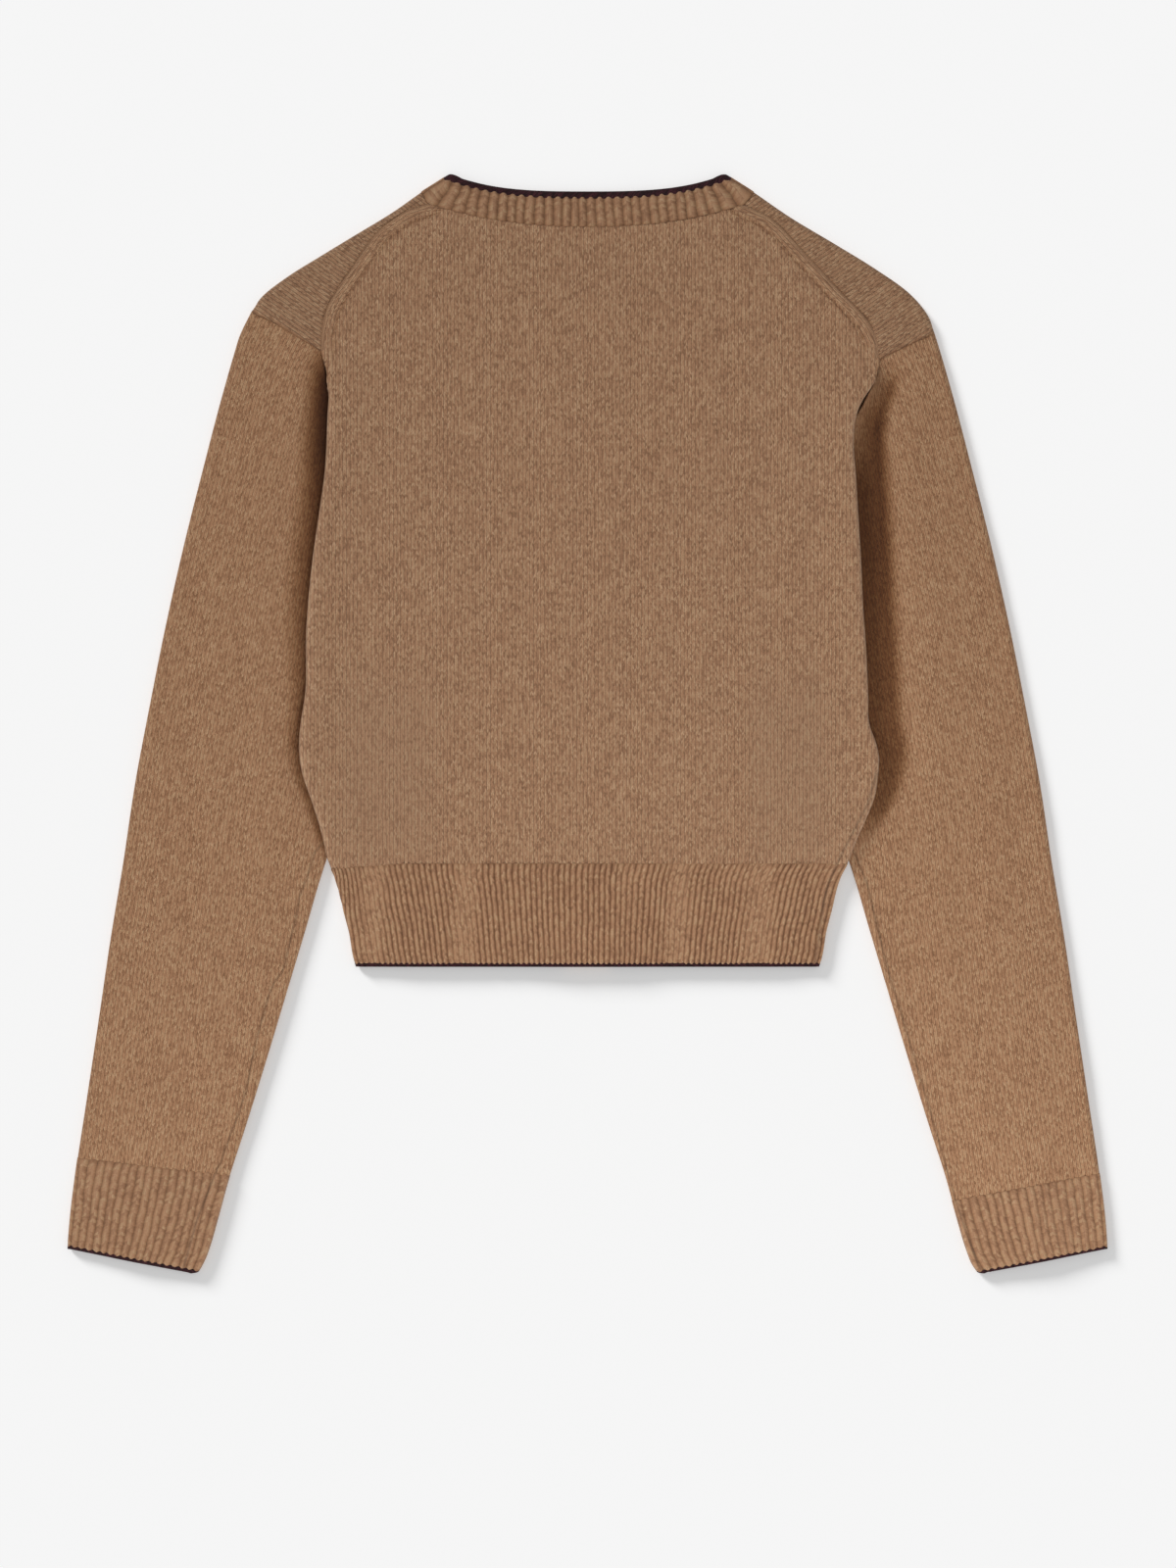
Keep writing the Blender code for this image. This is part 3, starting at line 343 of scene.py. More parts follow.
# Soft creases that only the looks have: start x, start y, end x, end y, depth, half width
TOP_CREASES = [
    (-132.0, 150.0, -138.0, 60.0, 0.35, 9.0),
    (-120.0, 30.0, -138.0, -70.0, 0.35, 8.0),
    (-20.0, 110.0, 12.0, -60.0, 0.25, 12.0),
    (40.0, 190.0, 52.0, 20.0, -0.3, 16.0),
    (96.0, 150.0, 104.0, 30.0, 0.25, 11.0),
    (-70.0, 240.0, -86.0, 130.0, 0.2, 12.0),
    (78.0, 262.0, 96.0, 170.0, 0.25, 10.0),
    (-206.0, 170.0, -222.0, 60.0, 0.3, 9.0),
    (-238.0, 60.0, -250.0, -60.0, -0.25, 12.0),
    (-232.0, -60.0, -262.0, -230.0, 0.35, 10.0),
    (-282.0, -120.0, -288.0, -250.0, -0.2, 9.0),
    (210.0, 160.0, 226.0, 40.0, 0.3, 9.0),
    (236.0, 20.0, 252.0, -110.0, -0.25, 12.0),
    (226.0, -90.0, 262.0, -260.0, 0.35, 10.0),
    (276.0, -130.0, 290.0, -260.0, -0.2, 9.0),
]


# ---------------------------------------------------------------- curves and heights


def rise(t):
    """A soft step from 0 to 1."""
    t = min(max(t, 0.0), 1.0)
    return t * t * (3.0 - 2.0 * t)


READY = {}


def read(table, at):
    """A smooth curve through rows of (position, value), read at one position."""
    if id(table) not in READY:  # the table is kept with its slopes, so its id stays its own
        places, values = np.array(table, float).T
        READY[id(table)] = (table, places.tolist(), values.tolist(), np.gradient(values, places).tolist())
    _, places, values, slopes = READY[id(table)]
    at = min(max(at, places[0]), places[-1])
    i = min(max(bisect.bisect_left(places, at) - 1, 0), len(places) - 2)
    step = places[i + 1] - places[i]
    f = (at - places[i]) / step
    start = values[i] * (1.0 + 2.0 * f) * (1.0 - f) ** 2 + slopes[i] * step * f * (1.0 - f) ** 2
    end = values[i + 1] * f * f * (3.0 - 2.0 * f) + slopes[i + 1] * step * f * f * (f - 1.0)
    return start + end


def run_lengths(points):
    """Running length at each of some plan points."""
    return np.concatenate([[0.0], np.cumsum(np.linalg.norm(np.diff(points, axis=0), axis=1))])


def trace(points, share):
    """The point at a share of the length of a smooth curve through plan points."""
    points = np.array(points, float)
    lengths = run_lengths(points)
    return np.array([read(list(zip(lengths, points[:, axis])), share * lengths[-1]) for axis in (0, 1)])


def polyline(points, share):
    """The point at a share of the length of straight runs between plan points."""
    points = np.array(points, float)
    lengths = run_lengths(points)
    return np.array([np.interp(share * lengths[-1], lengths, points[:, axis]) for axis in (0, 1)])


def sign_of(side):
    return -1.0 if side == "left" else 1.0


def side_of(x):
    return "left" if x < 0.0 else "right"


def outline(y):
    return read(OUTLINE, y)


def inner_fold(y):
    return read(INNER_FOLD, y)


def outline_normal(y):
    """The direction out of the shoulder and sleeve outline, as (outward x, y)."""
    slope = (outline(y + 1.0) - outline(y - 1.0)) / 2.0
    normal = np.array([1.0, -slope])
    return normal / np.linalg.norm(normal)


def inner_normal(y):
    """The direction out of the sleeve at its inner fold, as (outward x, y)."""
    slope = (inner_fold(y + 1.0) - inner_fold(y - 1.0)) / 2.0
    normal = np.array([-1.0, slope])
    return normal / np.linalg.norm(normal)


def crease(x, y, table):
    """How deep the creases of a table are at a point."""
    depth = 0.0
    for start_x, start_y, end_x, end_y, deep, half_width in table:
        along = (y - start_y) / (end_y - start_y)
        if 0.0 < along < 1.0:
            off = (x - start_x - along * (end_x - start_x)) / half_width
            depth += deep * math.exp(-off * off) * math.sin(math.pi * along) ** CREASE_ENDS
    return depth


def through(at, start, length):
    """How much of a run lies behind a place, as a soft step."""
    return rise((at - start) / length)


def tube_loft(outward, y):
    """Height of the top of a flattened sleeve or shoulder, rounding down to its outer fold."""
    off = (outline(y) - outward) * outline_normal(y)[0]
    return EDGE_LOFT + (FULL_LOFT - EDGE_LOFT) * rise(off / LOFT_REACH)


def sleeve_top(side, outward, y):
    """Height of the sleeve: pressed flat under the body's edge, rising again beyond it."""
    top = tube_loft(outward, y)
    if y < UNDERARM_Y:
        off = (outward - inner_fold(y)) * SQUARE_TO_FOLD
        top = min(top, EDGE_LOFT + (FULL_LOFT - EDGE_LOFT) * rise(off / LOFT_REACH))
    low, high = PRESS_ENDS_Y
    pressing = (1.0 - rise((y - low) / (high - low))) * through(y, *PRESS_RUN)
    past = outward - read(BODY_EDGE[side], y)
    flat, slope = TROUGH[side]
    share = min(max((past - flat) / slope, 0.0), 1.0)
    freed = 1.0 - (1.0 - share) ** LEFT_TROUGH_POWER if side == "left" else rise(share)
    top = TROUGH_TOP + (top - TROUGH_TOP) * (1.0 - pressing * (1.0 - freed))
    if side == "right":  # under the arm the sleeve comes up to the body's edge again
        meets = through(past, *ARMPIT_RUN) * (1.0 - through(past, *ARMPIT_END_RUN))
        meets *= 1.0 - rise(abs(y - ARMPIT_Y) / ARMPIT_HALF)
        top += max(min(ARMPIT_RISE, ARMPIT_TOP - top), 0.0) * meets
    return top - crease(outward, y, SLEEVE_CREASES) * freed


def body_floor(x, y):
    """Height of the underside of the body: on the surface, over the sleeves and over the buttons."""
    outward = abs(x)
    if y < UNDERARM_Y:
        off = (inner_fold(y) - outward) * SQUARE_TO_FOLD
    else:
        off = math.hypot(max(UNDERARM_X - outward, 0.0), y - UNDERARM_Y)
    over_sleeve = OVER_SLEEVE * (1.0 - through(off, *OFF_SLEEVE_RUN))
    band = BUTTON_BAND_LOW if x < 0.0 else BUTTONHOLE_BAND_LOW
    return max(over_sleeve, band * (1.0 - through(outward - BAND_HALF, *OFF_BUTTONS_RUN)))


def body_top(x, y):
    """Height of the back as it lies over the fronts, the sleeves and the buttons."""
    outward = abs(x)
    inward = read(BODY_EDGE[side_of(x)], y) - outward
    low, high = PRESS_ENDS_Y
    top = tube_loft(outward, y)
    folded = (1.0 - rise((y - low - FOLD_LAG) / (high - low))) * through(y, *FOLD_RUN)
    top += FOLD_RISE * folded * (1.0 - rise(inward / FOLD_RISE_REACH))
    top -= WAIST_DROP * through(y, *WAIST_RUN)
    hem_edge = EDGE_LOFT + (top - EDGE_LOFT) * rise(inward / FOLD_RISE_REACH)
    top += (hem_edge - top) * through(y, *HEM_EDGE_RUN)
    bands = (1.0 - through(outward - BAND_HALF, *BANDS_RUN)) * (1.0 - through(y, *BANDS_END_RUN))
    top += (BAND_BUMP - top) * bands
    if y < CREASES_END_Y:
        top -= crease(x, y, BACK_CREASES)
    sag = through(y, *NECK_SAG_RUN) * max(1.0 - (outward / NECK_SAG_HALF) ** 2, 0.0)
    return top - NECK_SAG * sag


def skin(x, y, low, high, angle, outward=(1.0, 0.0)):
    """Outer and inner point of the cloth round a flattened tube that spans low to high at a place.

    The angle is 90 degrees on the top sheet, -90 on the under sheet and between them round a fold whose
    axis passes through (x, y) and which faces outward.
    """
    middle = (low + high) / 2.0
    radius = (high - low) / 2.0
    across = math.cos(math.radians(angle))
    up = math.sin(math.radians(angle))
    return [
        (x + reach * across * outward[0], y + reach * across * outward[1], middle + reach * up)
        for reach in (radius, radius - CLOTH)
    ]


# ---------------------------------------------------------------- fine shells


def soft(t):
    """The soft step on whole arrays."""
    t = np.clip(t, 0.0, 1.0)
    return t * t * (3.0 - 2.0 * t)


def grain(x, y, size, seed):
    """Smooth noise from -1 to 1 over a plan, on whole arrays."""
    x = x / size
    y = y / size
    ix = np.floor(x)
    iy = np.floor(y)
    fx = soft(x - ix)
    fy = soft(y - iy)

    def corner(a, b):
        wave = np.sin((ix + a) * 127.1 + (iy + b) * 311.7 + seed * 74.7) * 43758.5453
        return (wave - np.floor(wave)) * 2.0 - 1.0

    low = corner(0, 0) * (1 - fx) + corner(1, 0) * fx
    high = corner(0, 1) * (1 - fx) + corner(1, 1) * fx
    return low * (1 - fy) + high * fy


def creases(x, y, table):
    """How deep the creases of a table are, on whole arrays."""
    depth = np.zeros_like(x)
    for start_x, start_y, end_x, end_y, deep, half_width in table:
        along = np.clip((y - start_y) / (end_y - start_y), 0.0, 1.0)
        off = (x - start_x - along * (end_x - start_x)) / half_width
        depth += deep * np.exp(-off * off) * np.sin(math.pi * along) ** CREASE_ENDS
    return depth


def bell(off, width, power=2):
    """1 at the middle of a soft ridge or groove and nearly 0 well past its half width."""
    return np.exp(-((off / width) ** power))


def swell(x, y, seed):
    """How knitted cloth that lies loosely rises and falls, in mm."""
    return sum(height * grain(x, y, size, seed + step) for height, size, step in SWELLS)


def signed_distance(x, y, line):
    """Distance from a line through plan points, positive to its left, on whole arrays."""
    best = np.full(x.shape, 1e9)
    signed = np.full(x.shape, FAR)
    for (ax, ay), (bx, by) in zip(line, line[1:]):
        length = math.hypot(bx - ax, by - ay)
        dx = (bx - ax) / length
        dy = (by - ay) / length
        along = np.clip((x - ax) * dx + (y - ay) * dy, 0.0, length)
        far = np.hypot(x - ax - along * dx, y - ay - along * dy)
        side = np.where(dx * (y - ay) - dy * (x - ax) >= 0.0, 1.0, -1.0)
        nearer = far < best - 1e-9
        signed = np.where(nearer, far * side, signed)
        best = np.where(nearer, far, best)
    return signed


def places_between(lengths, target, fine_start, fine_end):
    """Where the fine rows or columns lie among the coarse ones, closer together at the sewn ends."""
    places = []
    for k, length in enumerate(lengths):
        count = max(1, int(math.ceil(length / target - 0.2)))
        places += [k + step / count for step in range(count)]
    places.append(float(len(lengths)))
    for near in SEWN_ROWS:
        if fine_start and near < 0.8 * lengths[0]:
            places.append(near / lengths[0])
        if fine_end and near < 0.8 * lengths[-1]:
            places.append(len(lengths) - near / lengths[-1])
    places = sorted(places)
    kept = [places[0]]
    for place in places[1:]:
        if place - kept[-1] > 1e-6:
            kept.append(place)
    return np.array(kept)


def blend_matrix(lengths, places):
    """Weights that take coarse points to a smooth curve's points at the places."""
    at = np.concatenate([[0.0], np.cumsum(lengths)])
    count = len(at)
    slopes = np.gradient(np.eye(count), at, axis=0)
    weights = np.zeros((len(places), count))
    for row, place in enumerate(places):
        i = min(int(place), count - 2)
        f = place - i
        step = at[i + 1] - at[i]
        weights[row, i] += (1.0 + 2.0 * f) * (1.0 - f) ** 2
        weights[row] += slopes[i] * step * f * (1.0 - f) ** 2
        weights[row, i + 1] += f * f * (3.0 - 2.0 * f)
        weights[row] += slopes[i + 1] * step * f * f * (f - 1.0)
    return weights


def arc(points, axis):
    """Running length along the rows (axis 0) or the columns (axis 1) of a grid of points."""
    steps = np.linalg.norm(np.diff(points, axis=axis), axis=2)
    start = np.zeros((1, points.shape[1])) if axis == 0 else np.zeros((points.shape[0], 1))
    return np.concatenate([start, np.cumsum(steps, axis=axis)], axis=axis)


def facing(points, closed):
    """Unit normals of a grid, on the side that is up where the grid is highest."""
    down = np.gradient(points, axis=0)
    if closed:
        across = (np.roll(points, -1, axis=1) - np.roll(points, 1, axis=1)) / 2.0
    else:
        across = np.gradient(points, axis=1)
    normals = np.cross(across, down)
    normals /= np.maximum(np.linalg.norm(normals, axis=2, keepdims=True), 1e-9)
    highest = np.unravel_index(np.argmax(points[:, :, 2] - 0.01 * np.abs(points[:, :, 0])), points.shape[:2])
    return normals if normals[highest][2] > 0 else -normals


class Grid:
    """A piece's outer and inner surface as fine grids of points, in millimetres."""

    def __init__(self, rows, row_step, column_step, closed=False, sewn=(True, True), sewn_sides=False, inner=3):
        outer = np.array([[pair[0] for pair in row] for row in rows])
        inside = np.array([[pair[1] for pair in row] for row in rows])
        self.closed = closed
        self.coarse_columns = outer.shape[1]
        self.pad = 3 if closed else 0
        if closed:
            outer = np.concatenate([outer[:, -3:], outer, outer[:, :4]], axis=1)
            inside = np.concatenate([inside[:, -3:], inside, inside[:, :4]], axis=1)
        down = np.maximum(np.linalg.norm(np.diff(outer, axis=0), axis=2).mean(axis=1), 0.05)
        across = np.maximum(np.linalg.norm(np.diff(outer, axis=1), axis=2).mean(axis=0), 0.05)
        self.row_places = places_between(down, row_step, *sewn)
        columns = places_between(across, column_step, sewn_sides, sewn_sides)
        if closed:
            columns = columns[(columns >= 3.0 - 1e-6) & (columns < 3.0 + self.coarse_columns - 1e-6)]
        self.column_places = columns - self.pad
        by_row = blend_matrix(down, self.row_places)
        by_column = blend_matrix(across, columns)
        self.outer = np.einsum("ri,ijk,cj->rck", by_row, outer, by_column)
        keep_rows = sorted(set(range(0, len(self.row_places), inner)) | {len(self.row_places) - 1})
        keep_columns = sorted(set(range(0, len(columns), inner)) | ({len(columns) - 1} if not closed else set()))
        self.inner = np.einsum("ri,ijk,cj->rck", by_row[keep_rows], inside, by_column[keep_columns])
        self.normals = facing(self.outer, closed)
        self.lines = {}
        around = self.ringed(self.outer)
        self.across = arc(around, 1)
        self.down = arc(around, 0)
        self.cut = (float(self.across[:, -1].max()), float(self.down[-1].max()))
        self.measure()
        self.uv = np.stack([around[:, :, 0] / WALE, around[:, :, 1] / COURSE], axis=2)
        self.other_uv = self.uv
        self.uses_other = np.zeros((around.shape[0] - 1, around.shape[1] - 1), bool)

    def measure(self):
        around = self.ringed(self.outer)
        one = np.linalg.norm(np.cross(np.diff(around, axis=0)[:, :-1], np.diff(around, axis=1)[:-1]), axis=2)
        self.area = float(one.sum())

    def ringed(self, values):
        """The grid's values with the first column again at the end of a closed grid."""
        return np.concatenate([values, values[:, :1]], axis=1) if self.closed else values

    def up(self):
        """How far each point faces up, from 0 to 1."""
        return soft((self.normals[:, :, 2] - LEVEL_FROM) / LEVEL_REACH)

    def plan(self):
        """Plan x and y of each point."""
        return self.outer[:, :, 0], self.outer[:, :, 1]

    def column(self, place):
        """The fine column that lies nearest to a coarse one."""
        return int(np.argmin(np.abs(self.column_places - place)))

    def shade(self, line, values):
        """Marks values along a line and keeps the higher ones where some were marked before."""
        self.lines[line] = np.maximum(self.lines.get(line, 0.0), values)

    def raise_by(self, amount):
        self.outer = self.outer + self.normals * amount[:, :, None]

    def near_end(self, which):
        """Distance along the columns from the first or the last row."""
        down = self.down[:, : self.outer.shape[1]]
        return down if which == 0 else down[-1:] - down

    def near_side(self, which):
        across = self.across[:, : self.outer.shape[1]]
        return across if which == 0 else across[:, -1:] - across

    def tuck(self, distance, depth=0.3, width=0.9):
        """Lets an edge that is sewn roll down into its seam."""
        level = 0.2 + 0.8 * np.abs(self.normals[:, :, 2])  # little at a fold, where it would notch the outline
        self.raise_by(-depth * level * bell(distance, width))

    def reach(self, axis, which, amount, within=2.6):
        """Draws an end (axis 0) or a side (axis 1) outwards, so that a seam closes."""
        points = self.outer if axis == 0 else self.outer.transpose(1, 0, 2)
        distance = self.near_end(which) if axis == 0 else self.near_side(which).T
        inner = self.inner if axis == 0 else self.inner.transpose(1, 0, 2)
        end, before = (0, 1) if which == 0 else (-1, -2)
        heading = points[end] - points[before]
        heading /= np.maximum(np.linalg.norm(heading, axis=1, keepdims=True), 1e-9)
        weight = soft(1.0 - distance / within)[:, :, None]
        points += heading[None] * np.broadcast_to(amount, heading.shape[0])[None, :, None] * weight
        picked = np.linspace(0, heading.shape[0] - 1, inner.shape[1]).round().astype(int)
        inner[end] += (heading * np.broadcast_to(amount, heading.shape[0])[:, None])[picked]

    def sew(self, *edges, dark=1.0):
        """Closes the seams on these edges, each an axis and which end of it, and shades them."""
        for axis, which in edges:
            distance = self.near_end(which) if axis == 0 else self.near_side(which)
            self.reach(axis, which, SEAM_REACH)
            self.tuck(distance)
            # Painted shade along the seam
            self.shade("seam", dark * bell(distance, SEAM_SHADE))


def zip_rims(points, first, second, closed):
    """Triangles between two runs of point numbers: the shorter side leads."""
    if closed:
        first = first + first[:1]
        second = second + second[:1]
    faces = []
    i = 0
    j = 0
    while i < len(first) - 1 or j < len(second) - 1:
        if j == len(second) - 1:
            lead = True
        elif i == len(first) - 1:
            lead = False
        else:
            ahead = points[first[i + 1]] - points[second[j]]
            behind = points[first[i]] - points[second[j + 1]]
            lead = ahead @ ahead <= behind @ behind
        if lead:
            faces.append((first[i], first[i + 1], second[j]))
            i += 1
        else:
            faces.append((first[i], second[j + 1], second[j]))
            j += 1
    return faces


def numbered(grid, start, closed):
    """Point numbers of a grid, and its quads."""
    rows, columns = grid.shape[:2]
    numbers = start + np.arange(rows * columns).reshape(rows, columns)
    if closed:
        numbers = np.concatenate([numbers, numbers[:, :1]], axis=1)
    quads = np.stack([numbers[:-1, :-1], numbers[:-1, 1:], numbers[1:, 1:], numbers[1:, :-1]], axis=-1)
    return numbers, quads.reshape(-1, 4)


def placed(name, data):
    """A new object of the scene."""
    item = bpy.data.objects.new(name, data)
    bpy.context.scene.collection.objects.link(item)
    return item


def from_bmesh(name, mesh):
    data = bpy.data.meshes.new(name)
    mesh.to_mesh(data)
    mesh.free()
    return data


def shell(name, grid, material):
    """A closed wall from a Grid, with its stitch coordinates in a UV map."""
    closed = grid.closed
    grid.outer[:, :, 2] = np.maximum(grid.outer[:, :, 2], 0.0)  # what rests on the surface is flat there
    grid.inner[:, :, 2] = np.maximum(grid.inner[:, :, 2], INNER_LEAST)
    outside, outer_quads = numbered(grid.outer, 0, closed)
    inside, inner_quads = numbered(grid.inner, grid.outer.shape[0] * grid.outer.shape[1], closed)
    points = np.concatenate([grid.outer.reshape(-1, 3), grid.inner.reshape(-1, 3)])
    rims = []
    for end in (0, -1):
        first = outside[end].tolist()
        second = inside[end].tolist()
        if closed:
            first = first[:-1]
            second = second[:-1]
        rims += zip_rims(points, first, second, closed)
    if not closed:
        for end in (0, -1):
            rims += zip_rims(points, outside[:, end].tolist(), inside[:, end].tolist(), False)
    faces = outer_quads.tolist() + inner_quads.tolist() + rims
    data = bpy.data.meshes.new(name)
    world = points * MM
    world[:, 1] -= MIDDLE_Y * MM
    data.from_pydata(world.tolist(), [], faces)
    layer = data.uv_layers.new(name="knit")
    quad_uv = [
        np.stack([uv[:-1, :-1], uv[:-1, 1:], uv[1:, 1:], uv[1:, :-1]], axis=2) for uv in (grid.uv, grid.other_uv)
    ]
    outer_uv = np.where(grid.uses_other[:, :, None, None], quad_uv[1], quad_uv[0]).reshape(-1, 2)
    rest = np.array([corner for face in inner_quads.tolist() + rims for corner in face])
    rest_uv = np.stack([points[rest][:, 0] / WALE, points[rest][:, 1] / COURSE], axis=1)
    layer.data.foreach_set("uv", np.concatenate([outer_uv, rest_uv]).astype(np.float32).ravel())
    for line, values in grid.lines.items():
        rest_value = FAR if line in ("side_seam", "sleeve_seam") else 0.0
        spread = np.concatenate([values.ravel(), np.full(len(points) - values.size, rest_value)])
        data.attributes.new(line, "FLOAT", "POINT").data.foreach_set("value", spread.astype(np.float32))
    mesh = bmesh.new()
    mesh.from_mesh(data)
    bmesh.ops.recalc_face_normals(mesh, faces=mesh.faces)
    mesh.to_mesh(data)
    mesh.free()
    data.shade_smooth()
    data.set_sharp_from_angle(angle=math.radians(SMOOTH_BELOW))
    data.materials.append(material)
    return placed(name, data)


def cloth(name, node, grid, material, slot, rests_on):
    """A shell that stands for its node: it hides the node and prints the shell's cut, area and faces."""
    piece = shell(name, grid, material)
    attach(piece, "root")
    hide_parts(node)
    if slot == "tipping":
        grid.measure()
    width, length = (max(size, LEAST_CUT) for size in grid.cut)
    area = min(max(grid.area, LEAST_AREA * width * length), width * length)
    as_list(rests_on)
    print("%s: cut %.0f x %.0f mm, area %.0f cm2, %d faces"
          % (name, width, length, grid.area / 100.0, len(piece.data.polygons)))


# ---------------------------------------------------------------- sides of the body


def turned_seam(side, y):
    """Outward place, on the under side, of the seam where the back's turned-under side ends."""
    nearest = read(BODY_EDGE[side], y) - FOLD_DEPTH - LAP
    if y >= UNDERARM_Y:
        places = sorted((row[1], row[0]) for row in ARMHOLE[side][JOINT_STATION + 1 :])
        return min(read(places, y) + 1.0, nearest)
    share = (UNDERARM_Y - y) / (UNDERARM_Y - SIDE_SEAM_SHOWS_Y)
    reached = read(BODY_EDGE[side], SIDE_SEAM_SHOWS_Y) - FOLD_DEPTH - LAP
    start = UNDERARM_X + 1.0
    return min(start + (reached - start) * share, nearest)


def turned_edge(side, y):
    """Stations round the folded side of the body, from the top sheet to the seam under it.

    Each is (outward x, low, high, angle). Where the fold flattens out, they draw back onto the top.
    """
    fold = read(BODY_EDGE[side], y)
    sign = sign_of(side)
    curl = 1.0 - rise((y - FOLD_ENDS_Y[0]) / (FOLD_ENDS_Y[1] - FOLD_ENDS_Y[0]))
    high = body_top(sign * (fold - FOLD_TOP_IN), y)
    low = OVER_SLEEVE + FOLD_LIFT * through(y, FOLD_ENDS_Y[0], FOLD_LIFT_REACH)
    if y < UNDERARM_Y:
        low = body_floor(sign * (fold - FOLD_FLOOR_IN), y)
    radius = (high - low) / 2.0
    half_turn = math.pi * radius
    axis = fold - radius * curl
    lap = max(axis - turned_seam(side, y), LAP)
    full = [-EDGE_LEAD, 0.0, half_turn / 4, half_turn / 2, half_turn * 3 / 4, half_turn]
    full += [half_turn + lap / 2, half_turn + lap]
    squeeze = (curl * full[-1] + EDGE_LEAD) / (full[-1] + EDGE_LEAD)
    stations = []
    for place in full:
        at = -EDGE_LEAD + (place + EDGE_LEAD) * squeeze
        if at <= 0.0:
            stations.append((axis + at, low, body_top(sign * (axis + at), y), 90.0))
        elif at < half_turn:
            stations.append((axis, low, high, 90.0 - 180.0 * at / half_turn))
        else:
            stations.append((axis - (at - half_turn), low, high, -90.0))
    return stations


def edge_skins(side, y, height_at=None):
    """The stations of turned_edge as outer and inner points, from the seam under the fold to the top."""
    sign = sign_of(side)
    row = []
    for outward, low, high, angle in reversed(turned_edge(side, y)):
        place_y = y if height_at is None else height_at(sign * outward)
        if angle == 90.0:
            high = body_top(sign * outward, place_y)
        row.append(skin(sign * outward, place_y, low, high, angle, (sign, 0.0)))
    return row


# ---------------------------------------------------------------- back

BACK_STATIONS = 44
BACK_ROWS_Y = [-80 + 6 * k for k in range(45)]
BACK_ROWS_Y += [188, 192, 196, 199, 202, 204, 206, 208, 210, 212, 214, 216]  # closer where the fold flattens out
EDGE_STATIONS = 8
TOP_STATION = EDGE_STATIONS - 2  # the station over the axis of the fold
SHOULDER_ROWS = 6
HEM_STATIONS = 60
CUFF_STATIONS = 36
CUFF_TIP_STATIONS = 24
NECK_STATIONS = 48
ROW_STEP = 12.0  # between the rows of a sleeve
FIRST_ROW_DROP = 8.0  # from the shoulder's tip to the first of them, at least


def rib_top(x):
    """Where the hem's rib meets the back: it dips towards the left side."""
    return RIB_TOP_Y - RIB_DIP * max((-x - RIB_DIP_X) / (SIDE_X - RIB_DIP_X), 0.0)


def neck_seam(x):
    return NECK_SEAM_Y + NECK_SEAM_DIP * abs(x / NECK_SEAM_HALF) ** NECK_SEAM_POWER


def neck_edge(x):
    return NECK_EDGE_Y + (NECK_PEAK[1] - NECK_EDGE_Y) * abs(x / NECK_EDGE_HALF) ** NECK_EDGE_POWER


def top_skin(x, y):
    return skin(x, y, 0.0, body_top(x, y), 90.0)


def back_row(left_y, right_y, y_at):
    """One row across the back along y_at(x), with its sides turned under."""
    left = edge_skins("left", left_y, y_at)
    right = edge_skins("right", right_y, y_at)
    left_x = left[-1][0][0]
    right_x = right[-1][0][0]
    row = left
    for k in range(1, BACK_STATIONS):
        x = left_x + (right_x - left_x) * k / BACK_STATIONS
        row.append(top_skin(x, y_at(x)))
    return row + right[::-1]


def seam_station(side, share):
    """The shoulder seam at a share of its length from the joint, on straight runs between the back's rows."""
    place = share * SHOULDER_ROWS
    first = min(int(place), SHOULDER_ROWS - 1)
    ends = [trace(SHOULDER_SEAM[side], (first + k) / SHOULDER_ROWS) for k in (0, 1)]
    return ends[0] + (ends[1] - ends[0]) * (place - first)


def shoulder_row(share):
    """One row of the back between the two shoulder seams, sagging towards the neck seam."""
    left = trace(SHOULDER_SEAM["left"], share) * (-1.0, 1.0)
    right = trace(SHOULDER_SEAM["right"], share)
    neck_left = -SHOULDER_SEAM["left"][-1][0]
    neck_right = SHOULDER_SEAM["right"][-1][0]
    width = right[0] - left[0]
    close = [EDGE_LEAD * k / (EDGE_STATIONS - 1) for k in range(EDGE_STATIONS)]
    wide = [EDGE_LEAD + (width - 2 * EDGE_LEAD) * k / BACK_STATIONS for k in range(1, BACK_STATIONS)]
    row = []
    for place in close + wide + [width - at for at in reversed(close)]:
        f = place / width
        neck_x = neck_left + (neck_right - neck_left) * f
        neck_line = neck_seam(neck_left) + (neck_seam(neck_right) - neck_seam(neck_left)) * f
        sag = (neck_line - neck_seam(neck_x)) * share * share
        row.append(top_skin(left[0] + place, left[1] + (right[1] - left[1]) * f - sag))
    return row


# ---------------------------------------------------------------- fronts

FRONT_FLAT_STATIONS = 5
SLEEVE_CLEARANCES = (14.0, 10.0, 6.0, 1.5)  # stations of the step down beside the sleeve
FOLD_ANGLES = (-45.0, 0.0, 45.0)
NECK_ROWS = 5  # rows that end at the front neckline


def front_distances(width, raised):
    """Distances from a front row's outer end to its stations, the step beside the sleeve among them."""
    step = [raised + clear for clear in SLEEVE_CLEARANCES]
    flat = [width - (width - step[0]) * k / FRONT_FLAT_STATIONS for k in range(FRONT_FLAT_STATIONS)]
    last = step[-1]
    return flat + step + [last * 2 / 3, last / 3, 0.0]


def under_skin(side, point):
    """The under sheet at a plan point given as (outward x, y)."""
    x = sign_of(side) * point[0]
    low = body_floor(x, point[1])
    return skin(x, point[1], low, low + 2 * CLOTH, -90.0)


def front_row(side, start, end, raised):
    start = np.array(start, float)
    end = np.array(end, float)
    width = np.linalg.norm(start - end)
    places = [end + (start - end) * off / width for off in front_distances(width, raised)]
    return [under_skin(side, place) for place in places]


